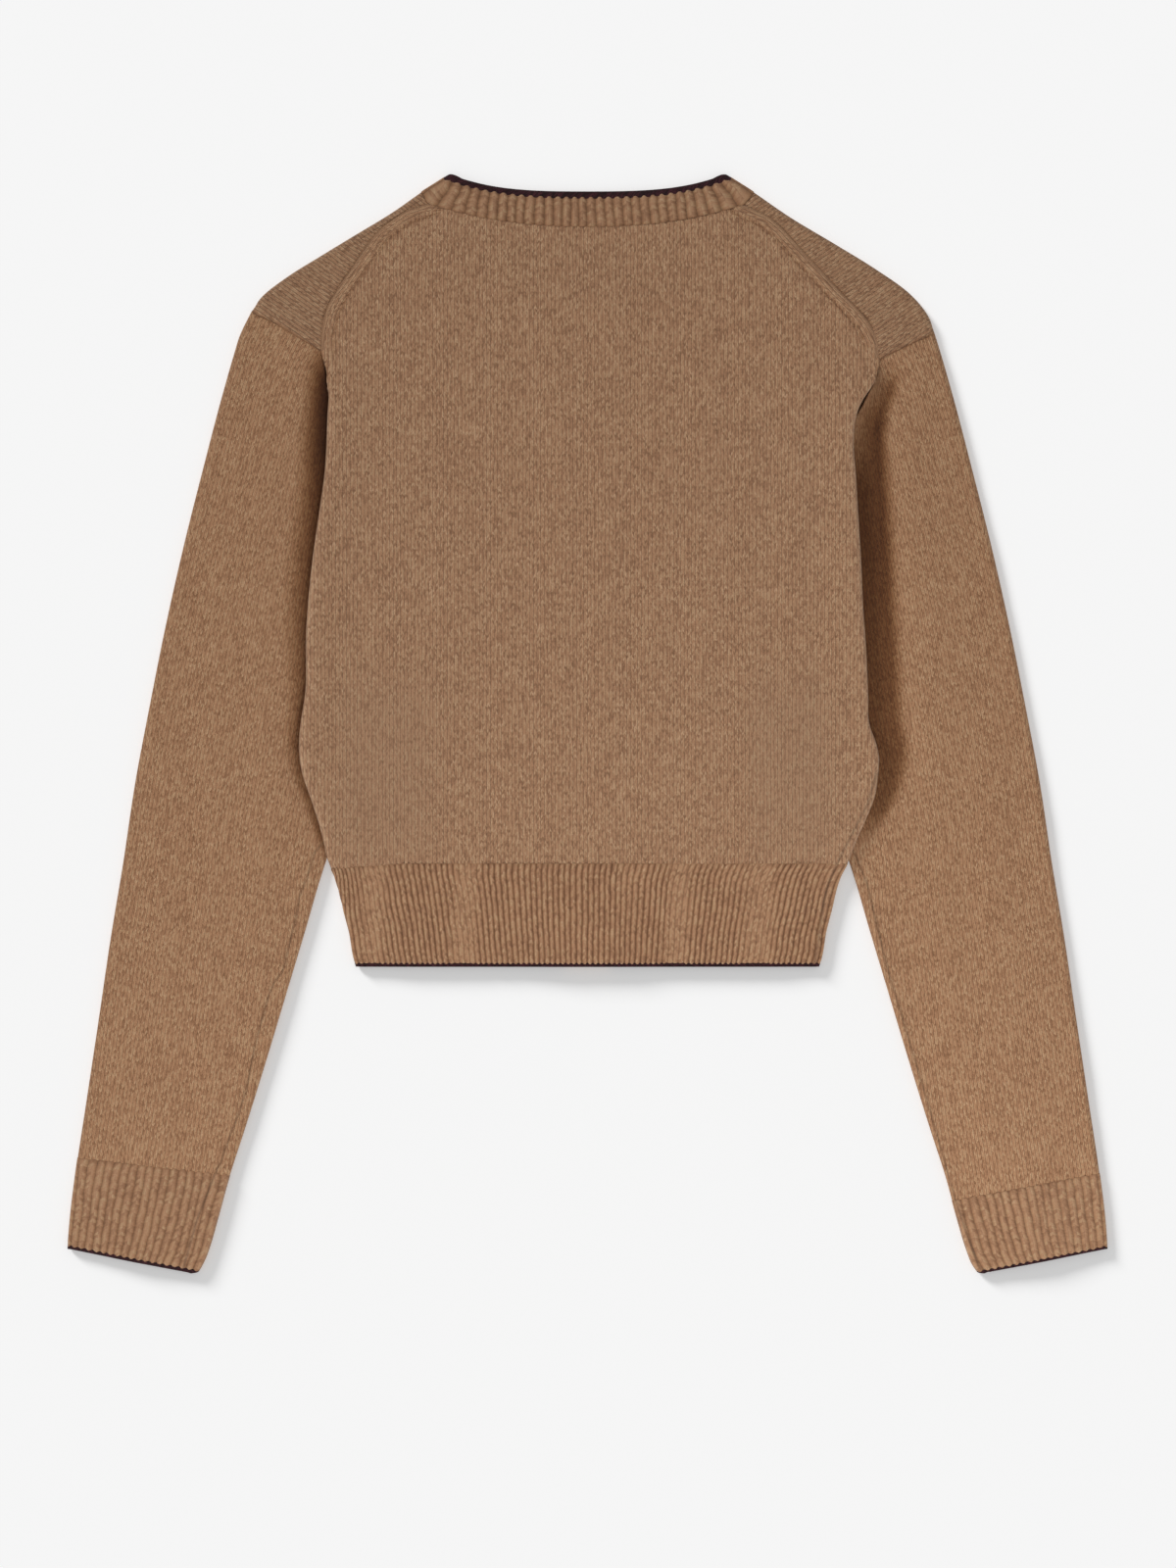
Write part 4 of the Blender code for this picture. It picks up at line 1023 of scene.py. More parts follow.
def moved_in(points, m, gap):
    """Point m of a seam, moved by a gap to the body's side of it."""
    before = np.array(points[max(m - 1, 0)], float)
    after = np.array(points[min(m + 1, len(points) - 1)], float)
    tangent = (after - before) / np.linalg.norm(after - before)
    return np.array(points[m], float) + gap * np.array([tangent[1], -tangent[0]])


def fold_axis(place):
    """Axis point and outward direction of the shoulder's fold at a height on the outline."""
    normal = outline_normal(place)
    return np.array([outline(place), place]) - normal * EDGE_LOFT / 2, normal


def cap_seam_end(side):
    return moved_in(ARMHOLE[side], JOINT_STATION, SEAM)


def front_rows(side):
    sign = sign_of(side)
    inner_x = BAND_HALF + SEAM
    rows = []
    for y in [rib_top(sign * SIDE_X)] + [y for y in BACK_ROWS_Y if y < UNDERARM_Y]:
        end = turned_seam(side, y) - SEAM
        raised = max(end - inner_fold(y), 0.0)
        rows.append(front_row(side, (inner_x, max(y, RIB_TOP_Y)), (end, y), raised))
    stations = len(ARMHOLE[side]) - 1
    for m in range(stations, 0, -1):
        if m > NECK_ROWS:
            start = (inner_x, UNDERARM_Y + (stations - m) * 24.0)
        else:
            start = trace(FRONT_NECK_SEAM, m / NECK_ROWS)
        rows.append(front_row(side, start, moved_in(ARMHOLE[side], m, SEAM), 0.0))
    tip_y = ARMHOLE[side][0][1] + SEAM
    neck_y = NECK_FOLD_SEAM_END[1] - 2 * SEAM
    width = math.hypot(outline(tip_y) - outline(neck_y), tip_y - neck_y)
    shares = [1.0 - off / width for off in front_distances(width, 0.0)]
    axes = [fold_axis(neck_y + (tip_y - neck_y) * share) for share in shares]
    for angle in (-90.0, *FOLD_ANGLES, 90.0):
        row = []
        for axis, normal in axes:
            top = body_top(sign * axis[0], axis[1])
            row.append(skin(sign * axis[0], axis[1], 0.0, top, angle, (sign * normal[0], normal[1])))
        rows.append(row)
    last = len(shares) - 1
    for step in range(1, JOINT_STATION + 1):
        row = []
        cap_seam = moved_in(ARMHOLE[side], step, SEAM)
        for k, (axis, _) in enumerate(axes):
            if k <= SHOULDER_ROWS - 1:
                seam_share = 1.0 - k / SHOULDER_ROWS
            else:
                seam_share = (last - k) / (last - SHOULDER_ROWS + 1) / SHOULDER_ROWS
            seam = seam_station(side, seam_share)
            seam = seam + (axis - seam) / np.linalg.norm(axis - seam) * SEAM * 1.4
            if k == last:
                place = cap_seam
            else:
                place = axis + (seam - axis) * step / JOINT_STATION
                bend = cap_seam - axes[-1][0] - (cap_seam_end(side) - axes[-1][0]) * step / JOINT_STATION
                place = place + bend * shares[k] ** 6
            row.append(top_skin(sign * place[0], place[1]))
        rows.append(row)
    return rows


# ---------------------------------------------------------------- sleeves and cuffs


def tube_ring(side, places, outer_normal, inner_normal_at, extra=0.0):
    """A ring round a flattened tube, over the top from its outer fold to its inner one and back under."""
    sign = sign_of(side)

    def at(place, angle, normal):
        top = sleeve_top(side, place[0], place[1]) + extra
        return skin(sign * place[0], place[1], 0.0, top, angle, (sign * normal[0], normal[1]))

    ring = [at(place, 90.0, outer_normal) for place in places]
    ring += [at(places[-1], -angle, inner_normal_at) for angle in FOLD_ANGLES]
    ring += [at(place, -90.0, outer_normal) for place in reversed(places)]
    return ring + [at(places[0], angle, outer_normal) for angle in FOLD_ANGLES]


def tube_row(side, outer_y, inner_y, stations):
    """Plan points across a sleeve between the axes of its two folds."""
    start, outer_normal = fold_axis(outer_y)
    normal = inner_normal(inner_y)
    half = sleeve_top(side, inner_fold(inner_y) + 2.0, inner_y) / 2
    end = np.array([inner_fold(inner_y), inner_y]) - normal * half
    places = [start + (end - start) * k / stations for k in range(stations + 1)]
    return places, outer_normal, normal


# ---------------------------------------------------------------- hem

def hem_row(y_at, extra=0.0):
    """A row of the hem over the back, from the seam under one side to the seam under the other."""
    ends = {}
    for side in ("left", "right"):
        sign = sign_of(side)
        y = y_at(sign * SIDE_X)
        edge = turned_edge(side, y)
        turned = [place for place in reversed(edge) if place[3] < 90.0]
        ends[side] = [skin(sign * x, y, low, high + extra, angle, (sign, 0.0)) for x, low, high, angle in turned]
        ends[side + "_x"] = sign * edge[1][0]
    row = ends["left"]
    for k in range(HEM_STATIONS + 1):
        x = ends["left_x"] + (ends["right_x"] - ends["left_x"]) * k / HEM_STATIONS
        row.append(skin(x, y_at(x), 0.0, body_top(x, y_at(x)) + extra, 90.0))
    return row + ends["right"][::-1]


# ---------------------------------------------------------------- neckband

NECK_FRONT_STATIONS = 2 * NECK_ROWS


def neck_fold_skin(side, share, angle, extra):
    """A point round the fold of the neckband at the shoulder, at a share of its height."""
    sign = sign_of(side)
    seam = np.array(NECK_FOLD_SEAM_END)
    peak = np.array(NECK_PEAK)
    run = (peak - seam) / np.linalg.norm(peak - seam)
    normal = np.array([run[1], -run[0]])
    axis = seam + (peak - seam) * share - normal * EDGE_LOFT / 2
    top = body_top(sign * axis[0], axis[1]) + extra
    return axis, skin(sign * axis[0], axis[1], 0.0, top, angle, (sign * normal[0], normal[1]))


def neck_row(share, extra=0.0):
    """A row along the neckband: under one front, over the back of the neck and under the other front."""
    ends = {}
    for side in ("left", "right"):
        run = []
        for k in range(NECK_FRONT_STATIONS, 0, -1):
            ends_of_run = [trace(FRONT_NECK_SEAM, (k + off) // 2 / NECK_ROWS) for off in (0, 1)]
            seam = (ends_of_run[0] + ends_of_run[1]) / 2
            edge = trace(FRONT_NECK_EDGE, k / NECK_FRONT_STATIONS)
            run.append(under_skin(side, seam + (edge - seam) * share))
        run += [neck_fold_skin(side, share, angle, extra)[1] for angle in (-90.0, *FOLD_ANGLES)]
        ends[side] = run
    (left_seam, right_seam), (left_peak, right_peak) = [
        [neck_fold_skin(side, end, 90.0, 0.0)[0] * (sign_of(side), 1.0) for side in ("left", "right")]
        for end in (0.0, 1.0)
    ]
    ends_x = (-SHOULDER_SEAM["left"][-1][0], SHOULDER_SEAM["right"][-1][0])
    seam_line = [left_seam] + [(x, neck_seam(x)) for x in np.linspace(*ends_x, 33)] + [right_seam]
    across = np.linspace(-0.96, 0.96, 25) * NECK_EDGE_HALF
    edge_line = [left_peak] + [(x, neck_edge(x)) for x in across] + [right_peak]
    back = []
    for k in range(NECK_STATIONS + 1):
        seam = polyline(seam_line, k / NECK_STATIONS)
        x, y = seam + (polyline(edge_line, k / NECK_STATIONS) - seam) * share
        back.append(skin(x, y, 0.0, body_top(x, y) + extra, 90.0))
    return ends["left"] + back + ends["right"][::-1]


# ---------------------------------------------------------------- materials


class Signal:
    """A value inside a material's node tree, so that nodes can be written as sums and products."""

    def __init__(self, nodes, socket):
        self.nodes = nodes
        self.socket = socket

    def __add__(self, other):
        return self.nodes.math("ADD", self, other)

    def __sub__(self, other):
        return self.nodes.math("SUBTRACT", self, other)

    def __rsub__(self, other):
        return self.nodes.math("SUBTRACT", other, self)

    def __mul__(self, other):
        return self.nodes.math("MULTIPLY", self, other)

    def __pow__(self, other):
        return self.nodes.math("POWER", self, other)


class Nodes:
    """Short calls for the nodes of one material."""

    def __init__(self, name):
        self.material = bpy.data.materials.new(name)
        self.material.use_nodes = True
        self.tree = self.material.node_tree
        self.shader = self.tree.nodes["Principled BSDF"]

    def plug(self, value, socket):
        if isinstance(value, Signal):
            self.tree.links.new(value.socket, socket)
        else:
            socket.default_value = value

    def add(self, kind, inputs=(), **settings):
        """A new node; its inputs are plugged by name or by number."""
        node = self.tree.nodes.new(kind)
        for key, value in settings.items():
            setattr(node, key, value)
        for key, value in dict(inputs).items():
            self.plug(value, node.inputs[key])
        return node

    def signal(self, kind, output, inputs=(), **settings):
        return Signal(self, self.add(kind, inputs, **settings).outputs[output])

    def math(self, operation, *values):
        return self.signal("ShaderNodeMath", 0, enumerate(values), operation=operation)

    def ramp(self, value, low, high, to_low=0.0, to_high=1.0):
        ends = {"Value": value, "From Min": low, "From Max": high, "To Min": to_low, "To Max": to_high}
        return self.signal("ShaderNodeMapRange", 0, ends, interpolation_type="SMOOTHSTEP")

    def vector(self, x, y, z=0.0):
        return self.signal("ShaderNodeCombineXYZ", 0, enumerate((x, y, z)))

    def noise(self, vector, scale, detail=2.0, roughness=0.5):
        inputs = {"Vector": vector, "Scale": scale, "Detail": detail, "Roughness": roughness}
        return self.signal("ShaderNodeTexNoise", "Fac", inputs)

    def mix(self, factor, first, second, blend="MIX"):
        colors = {"Factor": factor, 6: first, 7: second}
        return self.signal("ShaderNodeMix", 2, colors, data_type="RGBA", blend_type=blend)

    def times(self, color, by):
        return self.mix(1.0, color, by, "MULTIPLY")

    def mark(self, name):
        """A value that the mesh carries at its points."""
        return self.signal("ShaderNodeAttribute", "Fac", attribute_name=name)

    def share(self, name):
        """The same, and no more than 1."""
        return self.math("MINIMUM", self.mark(name), 1.0)

    def palette(self, value, stops):
        node = self.add("ShaderNodeValToRGB", {"Fac": value})
        ramp = node.color_ramp
        while len(ramp.elements) < len(stops):
            ramp.elements.new(0.5)
        for element, (place, color) in zip(ramp.elements, stops):
            element.position = place
            element.color = (*color, 1.0)
        return Signal(self, node.outputs["Color"])

    def darker(self, color, share):
        """Light lost in a fold between layers of brown yarn, which keeps the warm part of it longest."""
        left = 1.0 - share
        return self.times(color, self.vector(left, *[left ** power for power in DARKER_POWERS]))

    def level(self, settings):
        for key, value in settings.items():
            self.shader.inputs[key].default_value = value

    def surface(self, color, roughness, height, strength, distance):
        """Gives the shader its color, its roughness and a bump that is a distance high."""
        bump = {"Strength": strength, "Distance": distance, "Height": height}
        normal = self.signal("ShaderNodeBump", "Normal", bump)
        for key, value in (("Base Color", color), ("Roughness", roughness), ("Normal", normal)):
            self.plug(value, self.shader.inputs[key])


HEATHER = [
    (0.16, (0.185, 0.088, 0.042)),
    (0.36, (0.268, 0.136, 0.070)),
    (0.50, (0.323, 0.170, 0.090)),
    (0.62, (0.360, 0.194, 0.104)),
    (0.72, (0.345, 0.208, 0.112)),
    (0.90, (0.490, 0.295, 0.175)),
]
WINE = [
    (0.30, (0.010, 0.002, 0.003)),
    (0.55, (0.022, 0.003, 0.006)),
    (0.80, (0.050, 0.010, 0.016)),
]
HORN = [
    (0.3, (0.018, 0.008, 0.005)),
    (0.5, (0.05, 0.022, 0.012)),
    (0.75, (0.13, 0.065, 0.03)),
]
DARKER_POWERS = (1.34, 1.75)  # how much faster green and blue go than red
# Layers of noise in the yarn: what u and v are multiplied by, scale, detail, roughness, weight in its shade
YARN = {
    "runs": (0.45, 1.1, 1.0, 2.0, 0.6, 0.18),
    "specks": (WALE, COURSE, 1.1, 1.0, 0.5, 0.45),
    "hairs": (2.6, 3.1, 1.7, 4.0, 0.7, 0.85),
    "fibre": (6.0, 2.2, 1.3, 3.0, 0.65, 0.5),
}
CLOUD = (0.11, 3.0, 0.55)
CLOUD_WEIGHT = 0.18
WANDER = (0.13, 0.5)  # of the columns: scale, and how far
UNLEVEL = (0.31, 0.8)  # the same, of the rows
LEG_WIDTH = 4.0
LEG_ROUND = 0.6
GAP_FROM = 0.32  # where the gap between two columns starts
GAP_LIGHT = (-0.35, 0.55, 0.70, 1.06)  # from the deepest to the highest of a stitch: heights, light
GROOVE_FROM = (0.12, 0.46, -0.03)  # between two ribs: where it starts and ends, and its least shade
FIBRE_HEIGHT = 0.35  # in stitches
HAIR_HEIGHT = 0.3
FIBRE_ROUGHNESS = (0.2, 0.8, 0.82, 0.98)
SHEEN = {"Sheen Roughness": 0.6, "Sheen Tint": (0.9, 0.75, 0.6, 1.0)}
BUMP = 0.8
LEG_MIDDLE = 0.24  # from the middle of a column to the middle of a leg of its stitches
LEG_SLANT = 1.5
STITCH_DEPTH = 0.00028  # metres
MIDDLE_SHADE = 0.53  # where the middle of the yarn's shades is on the palette
CELL_WEIGHT = 0.62  # how much each leg of yarn has its own shade
CALM = 0.28  # how much less the smoother places vary
SMOOTH_TINTED = 0.6
SMOOTH_TINT = (0.94, 0.985, 1.03, 1.0)
HIGHLIGHT_TINT = (1.16, 1.2, 1.26, 1.0)
LINE_DEPTH = 1.6  # of a sewn line, in stitches
SEAM_DARK = 0.42


def knitted(name, stops, lines=(), contrast=1.0, rib=0.0, gaps=0.25, tone_and_shade=1.0, sheen=0.3, gloss=0.25):
    """Stockinette or rib from the stitch coordinates: two slanting legs a stitch, heathered yarn and fuzz."""
    nodes = Nodes(name)
    coordinates = nodes.signal("ShaderNodeUVMap", "UV", uv_map="knit")
    parted = nodes.add("ShaderNodeSeparateXYZ", {0: coordinates})
    u, v = (Signal(nodes, parted.outputs[k]) for k in (0, 1))
    # Uneven hand of the yarn: the columns wander a little and the rows are not quite level
    u = u + (nodes.noise(coordinates, WANDER[0]) - 0.5) * WANDER[1]
    v = v + (nodes.noise(coordinates, UNLEVEL[0], 1.0) - 0.5) * UNLEVEL[1]
    off = nodes.math("ABSOLUTE", nodes.math("FRACT", u) - 0.5)
    from_leg = (off - LEG_MIDDLE) * LEG_WIDTH
    across = nodes.math("MAXIMUM", 1.0 - from_leg * from_leg, 0.0) ** LEG_ROUND
    slanted = v + off * LEG_SLANT
    turn = nodes.math("FRACT", slanted) * 2.0 - 1.0
    along = 1.0 - turn * turn
    stitch = across * (along * 0.5 + 0.5) - nodes.ramp(off, GAP_FROM, 0.5, 0.0, gaps)
    # Heather: each leg of yarn has its own shade, with runs, specks, loose hairs and twisted fibres in it
    cell = nodes.vector(nodes.math("FLOOR", u * 2.0), nodes.math("FLOOR", slanted))
    own = nodes.signal("ShaderNodeTexWhiteNoise", "Value", {"Vector": cell}, noise_dimensions="2D")
    shade = (own - 0.5) * (CELL_WEIGHT * contrast)
    yarn = {}
    for layer, (across_by, along_by, scale, detail, roughness, weight) in YARN.items():
        place = nodes.vector(u * across_by, (slanted if layer == "fibre" else v) * along_by)
        yarn[layer] = nodes.noise(place, scale, detail, roughness)
        shade = shade + (yarn[layer] - 0.5) * (weight * contrast)
    shade = shade + (nodes.noise(coordinates, *CLOUD) - 0.5) * (CLOUD_WEIGHT * contrast) + MIDDLE_SHADE
    if name == "knit_back":
        smoother = nodes.share("smoother")
        calm = smoother * CALM
        shade = shade * (1.0 - calm) + calm * MIDDLE_SHADE
    # Each piece's yarn is drawn a little lighter or darker: partly its own tone, partly painted light and shade
    color = nodes.palette(shade, [(place, [part * tone_and_shade for part in stop]) for place, stop in stops])
    if name == "knit_back":
        color = nodes.mix(smoother * SMOOTH_TINTED, color, nodes.times(color, SMOOTH_TINT))
        # Painted highlight along the body's folded edges, where the fuzz catches the light
        color = nodes.mix(nodes.mark("edge_highlight"), color, nodes.times(color, HIGHLIGHT_TINT))
    # Painted shade in the grooves between the ribs
    if rib:
        color = nodes.darker(color, nodes.ramp(off, *GROOVE_FROM, rib) * (1.0 - nodes.share("faded")))
    # Painted shade in the trough where the sleeve runs under the body's edge
    if name == "knit_sleeve":
        color = nodes.darker(color, nodes.share("trough"))
    # The gaps between the legs lie deeper in the cloth, and less light comes back from them
    color = nodes.times(color, nodes.ramp(stitch, *GAP_LIGHT))
    height = stitch + yarn["fibre"] * FIBRE_HEIGHT + yarn["hairs"] * HAIR_HEIGHT
    # Sewn lines sink in as grooves, with painted shade along them
    for line, width, dark in lines:
        ragged = nodes.mark(line) + (yarn["hairs"] - 0.5) * 0.5
        groove = nodes.ramp(nodes.math("ABSOLUTE", ragged), 0.15 * width, width, 1.0, 0.0)
        height = height - groove * LINE_DEPTH
        color = nodes.times(color, 1.0 - groove * dark)
    # Painted shade along the seams and in the dents of the shoulder marks
    color = nodes.darker(color, nodes.mark("seam") * SEAM_DARK)
    nodes.surface(color, nodes.ramp(yarn["fibre"], *FIBRE_ROUGHNESS), height, BUMP, STITCH_DEPTH)
    nodes.level({"Specular IOR Level": gloss, "Sheen Weight": sheen, **SHEEN})
    return nodes.material


def horn_material():
    nodes = Nodes("horn")
    place = nodes.signal("ShaderNodeTexCoord", "Object")
    stretched = nodes.signal("ShaderNodeMapping", "Vector", {"Vector": place, "Scale": (900.0, 160.0, 300.0)})
    streaks = nodes.noise(stretched, 1.0, 4.0, 0.6)
    nodes.surface(nodes.palette(streaks, HORN), nodes.ramp(streaks, 0.3, 0.8, 0.22, 0.4), streaks, 0.15, 0.0001)
    return nodes.material


# ---------------------------------------------------------------- pieces

def carry_round(values, across, left, right, pitch=1.0):
    """Lets values go on at an even pace past two columns, round the turned-under sides."""
    values[:, :left] = values[:, left : left + 1] - (across[:, left : left + 1] - across[:, :left]) / pitch
    values[:, right:] = values[:, right : right + 1] + (across[:, right:] - across[:, right : right + 1]) / pitch


def body_uv(grid):
    """Columns of stitches run straight down the cloth and round its turned-under sides."""
    u, y = (values.copy() for values in grid.plan())
    carry_round(u, grid.across, grid.column(TOP_STATION), grid.column(grid.coarse_columns - 1 - TOP_STATION))
    return np.stack([u / WALE, y / COURSE], axis=2)


def make_back():
    shoulder_steps = 5 * SHOULDER_ROWS
    rows = [back_row(rib_top(-SIDE_X), rib_top(SIDE_X), rib_top)]
    rows += [back_row(float(y), float(y), lambda x, y=y: float(y)) for y in BACK_ROWS_Y]
    rows += [shoulder_row(step / shoulder_steps) for step in range(shoulder_steps + 1)]
    grid = Grid(rows, *BACK_GRID, sewn_sides=True)
    grid.uv = body_uv(grid)
    x, y = (values.copy() for values in grid.plan())
    up = grid.up()
    # The knitted-in edge: a smooth band of columns along the shoulder seams, then the rest of the back
    on_shoulder = grid.row_places >= len(BACK_ROWS_Y) + 1 - 1e-6
    columns_in = np.minimum(grid.column_places, grid.coarse_columns - 1 - grid.column_places)
    band = columns_in < BAND_COLUMNS
    seams = [[(sign_of(side) * x, y) for x, y in SHOULDER_SEAM[side]] for side in ("left", "right")]
    from_seam = np.minimum(*[np.abs(signed_distance(x, y, seam)) for seam in seams])
    grid.other_uv = np.stack([from_seam / WALE + 0.02, grid.down / COURSE], axis=2)
    grid.uses_other = (on_shoulder[:-1] & on_shoulder[1:])[:, None] & (band[:-1] & band[1:])[None, :]
    grid.raise_by(up * (swell(x, y, 1) - creases(x, y, TOP_CREASES)))
    near_shoulder = soft((y - SHOULDER_RUN[0]) / SHOULDER_RUN[1]) * up
    grid.raise_by(BAND_RISE * near_shoulder * bell(from_seam - BAND_OFF, BAND_WIDTH, 4))
    marks = 0.55 + 0.45 * np.sin(2 * math.pi * grid.down / MARK_PITCH)
    grid.raise_by(-MARK_DEPTH * marks * near_shoulder * bell(from_seam - MARK_OFF, MARK_WIDTH))
    grid.sew((0, 0), dark=0.0)
    grid.sew((0, 1), (1, 0), (1, 1), dark=0.6)
    # Painted shade in the marks' dents
    grid.shade("seam", MARK_DARK * (1.0 - marks) * near_shoulder * bell(from_seam - MARK_OFF, 0.9))
    grid.lines["smoother"] = sum(
        bell(x - at_x, half_x, 4) * bell(y - at_y, half_y, 4) for at_x, at_y, half_x, half_y in SMOOTHER
    )
    # Painted highlight: a lighter strip along the folded edges, fading out towards the shoulders
    edge = np.where(x < 0.0, *[np.interp(y, *np.array(BODY_EDGE[side]).T) for side in ("left", "right")])
    highlight_below = 1.0 - soft((y - HIGHLIGHT_END_RUN[0]) / HIGHLIGHT_END_RUN[1])
    grid.lines["edge_highlight"] = up * bell(edge - np.abs(x), EDGE_HIGHLIGHT) * highlight_below
    grid.lines["side_seam"] = signed_distance(x, y, SIDE_SEAM)
    cloth("knit_back", "back", grid, KNIT["back"], "knit", ["front_left", "front_right"])


def make_fronts():
    for side in ("left", "right"):
        sign = sign_of(side)
        rows = front_rows(side)
        grid = Grid(rows, *FRONT_GRID, sewn_sides=True)
        x, y = grid.plan()
        turn = math.radians(WRAP_GRAIN)
        along = x * math.cos(turn) * sign + y * -math.sin(turn)
        across = x * math.sin(turn) * sign + y * math.cos(turn)
        grid.other_uv = np.stack([across / WALE, along / COURSE], axis=2)
        wrapped = grid.row_places >= len(rows) - JOINT_STATION - 3
        grid.uses_other = wrapped[:-1, None] & np.ones(grid.outer.shape[1] - 1, bool)[None, :]
        grid.raise_by(grid.up() * (0.8 * swell(x, y, 1) - creases(x, y, TOP_CREASES)))
        grid.sew((0, 0), (0, 1), (1, 0), (1, 1))
        cloth("knit_front_" + side, "front_" + side, grid, KNIT["plain"], "knit", ["floor"])


def sleeve_uv(grid, side):
    """Columns of stitches run parallel to the sleeve's outer fold."""
    around = grid.ringed(grid.outer)
    along = sign_of(side) * around[:, :, 0] * SLEEVE_GRAIN[0] + around[:, :, 1] * SLEEVE_GRAIN[1]
    return np.stack([grid.across / WALE, along / COURSE], axis=2)


def sleeve_rows(side):
    armhole = [np.array(point, float) for point in ARMHOLE[side]]
    stations = 3 * (len(armhole) - 1)
    outer_y, inner_y = armhole[0][1], armhole[-1][1]
    places, outer_normal, normal = tube_row(side, outer_y, inner_y, stations)
    coarse = [places[0]] + armhole[1:-1] + [places[-1]]
    cut = []
    for k in range(stations + 1):
        at = k / 3.0
        i = min(int(at), len(coarse) - 2)
        cut.append(coarse[i] + (coarse[i + 1] - coarse[i]) * (at - i))
    bend = [point - place for point, place in zip(cut, places)]
    rings = [tube_ring(side, cut, outer_normal, normal)]
    first = (min(SLEEVE_ROWS[0][0], outer_y - FIRST_ROW_DROP), *SLEEVE_ROWS[0][1:])
    rows = [(outer_y, inner_y, 1.0), first, *SLEEVE_ROWS[1:], (*CUFF_TOP[side], 0.0)]
    for before, after in zip(rows, rows[1:]):
        steps = max(1, int(round((before[0] - after[0]) / ROW_STEP)))
        for step in range(1, steps + 1):
            outer_at, inner_at, kept = [a + (b - a) * (step / steps) for a, b in zip(before, after)]
            places, outer_normal, normal = tube_row(side, outer_at, inner_at, stations)
            places = [place + kept * off for place, off in zip(places, bend)]
            rings.append(tube_ring(side, places, outer_normal, normal))
    return rings


def make_sleeves():
    for side in ("left", "right"):
        grid = Grid(sleeve_rows(side), *SLEEVE_GRID, closed=True)
        grid.uv = sleeve_uv(grid, side)
        x, y = grid.plan()
        free = soft((np.abs(x) - FREE_RUN[0]) / FREE_RUN[1])
        grid.raise_by(grid.up() * free * (swell(x, y, 5) - creases(x, y, TOP_CREASES)))
        grid.sew((0, 0), dark=0.9)
        grid.sew((0, 1), dark=0.2)
        # Painted shade in the trough beside the body: the share of light lost, fading out away from the body
        off = np.abs(x) - np.interp(y, *np.array(BODY_EDGE[side]).T)
        heights, *columns = np.array(TROUGH_SHADE[side]).T
        shade, near, far = (np.interp(y, heights, column) for column in columns)
        inside = 1.0 - soft((off - near) / (far - near))
        if side == "right":  # higher up, the deepest line of the trough moves off the body
            higher = soft((y - ARM_RUN[0]) / ARM_RUN[1])
            inside *= 1.0 - TROUGH_OFF * higher * np.clip(1.0 - off / ARM_OFF, 0.0, 1.0)
        grid.lines["trough"] = shade * inside * soft((grid.normals[:, :, 2] - SHADED_FROM) / SHADED_REACH)
        seen = grid.normals[:, :, 2] > SEEN_ABOVE
        grid.lines["sleeve_seam"] = np.where(seen, signed_distance(x, y, SLEEVE_SEAM[side]), FAR)
        cloth("knit_sleeve_" + side, "sleeve_" + side, grid, KNIT["sleeve"], "knit", ["floor"])


def ridges(phase):
    """1 on top of each rib and 0 between two."""
    return 0.5 + 0.5 * np.cos(2 * math.pi * (phase - 0.5))


def ribbed(grid, phase, height, seed, flat_spots=0.35, flatter=(), sharp=0.85):
    """Raises rounded ribs on the upper side and sinks grooves into the side that rests flat."""
    x, y = grid.plan()
    wander, bends, slower = RIB_WANDER
    phase = phase + wander * grain(x, y * slower, bends, seed)
    ridge = ridges(phase) ** sharp
    size, slower, sharpness = RIB_SPOTS
    faded = flat_spots * soft(grain(x, y * slower, size, seed + 5) * sharpness)
    for centre, half_width in flatter:
        faded = np.maximum(faded, RIB_FLATTEST * bell(x - centre - FLATTER_LEAN * y, half_width, 4))
    if flatter:
        faded = faded * (1.0 - bell(x - CORNER[0], CORNER[1], 4))
    grid.lines["faded"] = faded
    up = grid.up()
    under = soft((-grid.normals[:, :, 2] - LEVEL_FROM) / LEVEL_REACH)
    raised = up * height * (1.0 - faded) * ridge - under * RIB_BELOW * (1.0 - ridge)
    grid.raise_by(raised + (1 - up - under) * height * 0.5 * ridge)
    return phase


def end_ribs(grid, phase):
    """The ribs' round ends, which lap the dark edge."""
    grid.reach(0, 1, TIP_REACH * ridges(phase[-1]) - RIB_END)
    grid.tuck(grid.near_end(1), *END_TUCK)


def tip_grid(rows, closed=False):
    """A knitted-in dark edge, with stitches of its own."""
    grid = Grid(rows, *TIP_GRID, closed=closed, sewn=(False, False), inner=2)
    grid.uv = np.stack([grid.across / TIP_WALE, grid.down / TIP_COURSE], axis=2)
    return grid


def round_tip(grid, loft=0.0):
    """Rounds the sides of a dark edge down and makes it a little uneven."""
    nearest = np.minimum(grid.near_end(0), grid.near_end(1))
    rounded = TIP_ROUND * (np.clip(nearest / TIP_ROUND_REACH, 0.0, 1.0) - 1.0)
    grid.raise_by(grid.up() * (loft + rounded + 0.12 * grain(*grid.plan(), 3.1, 8)))


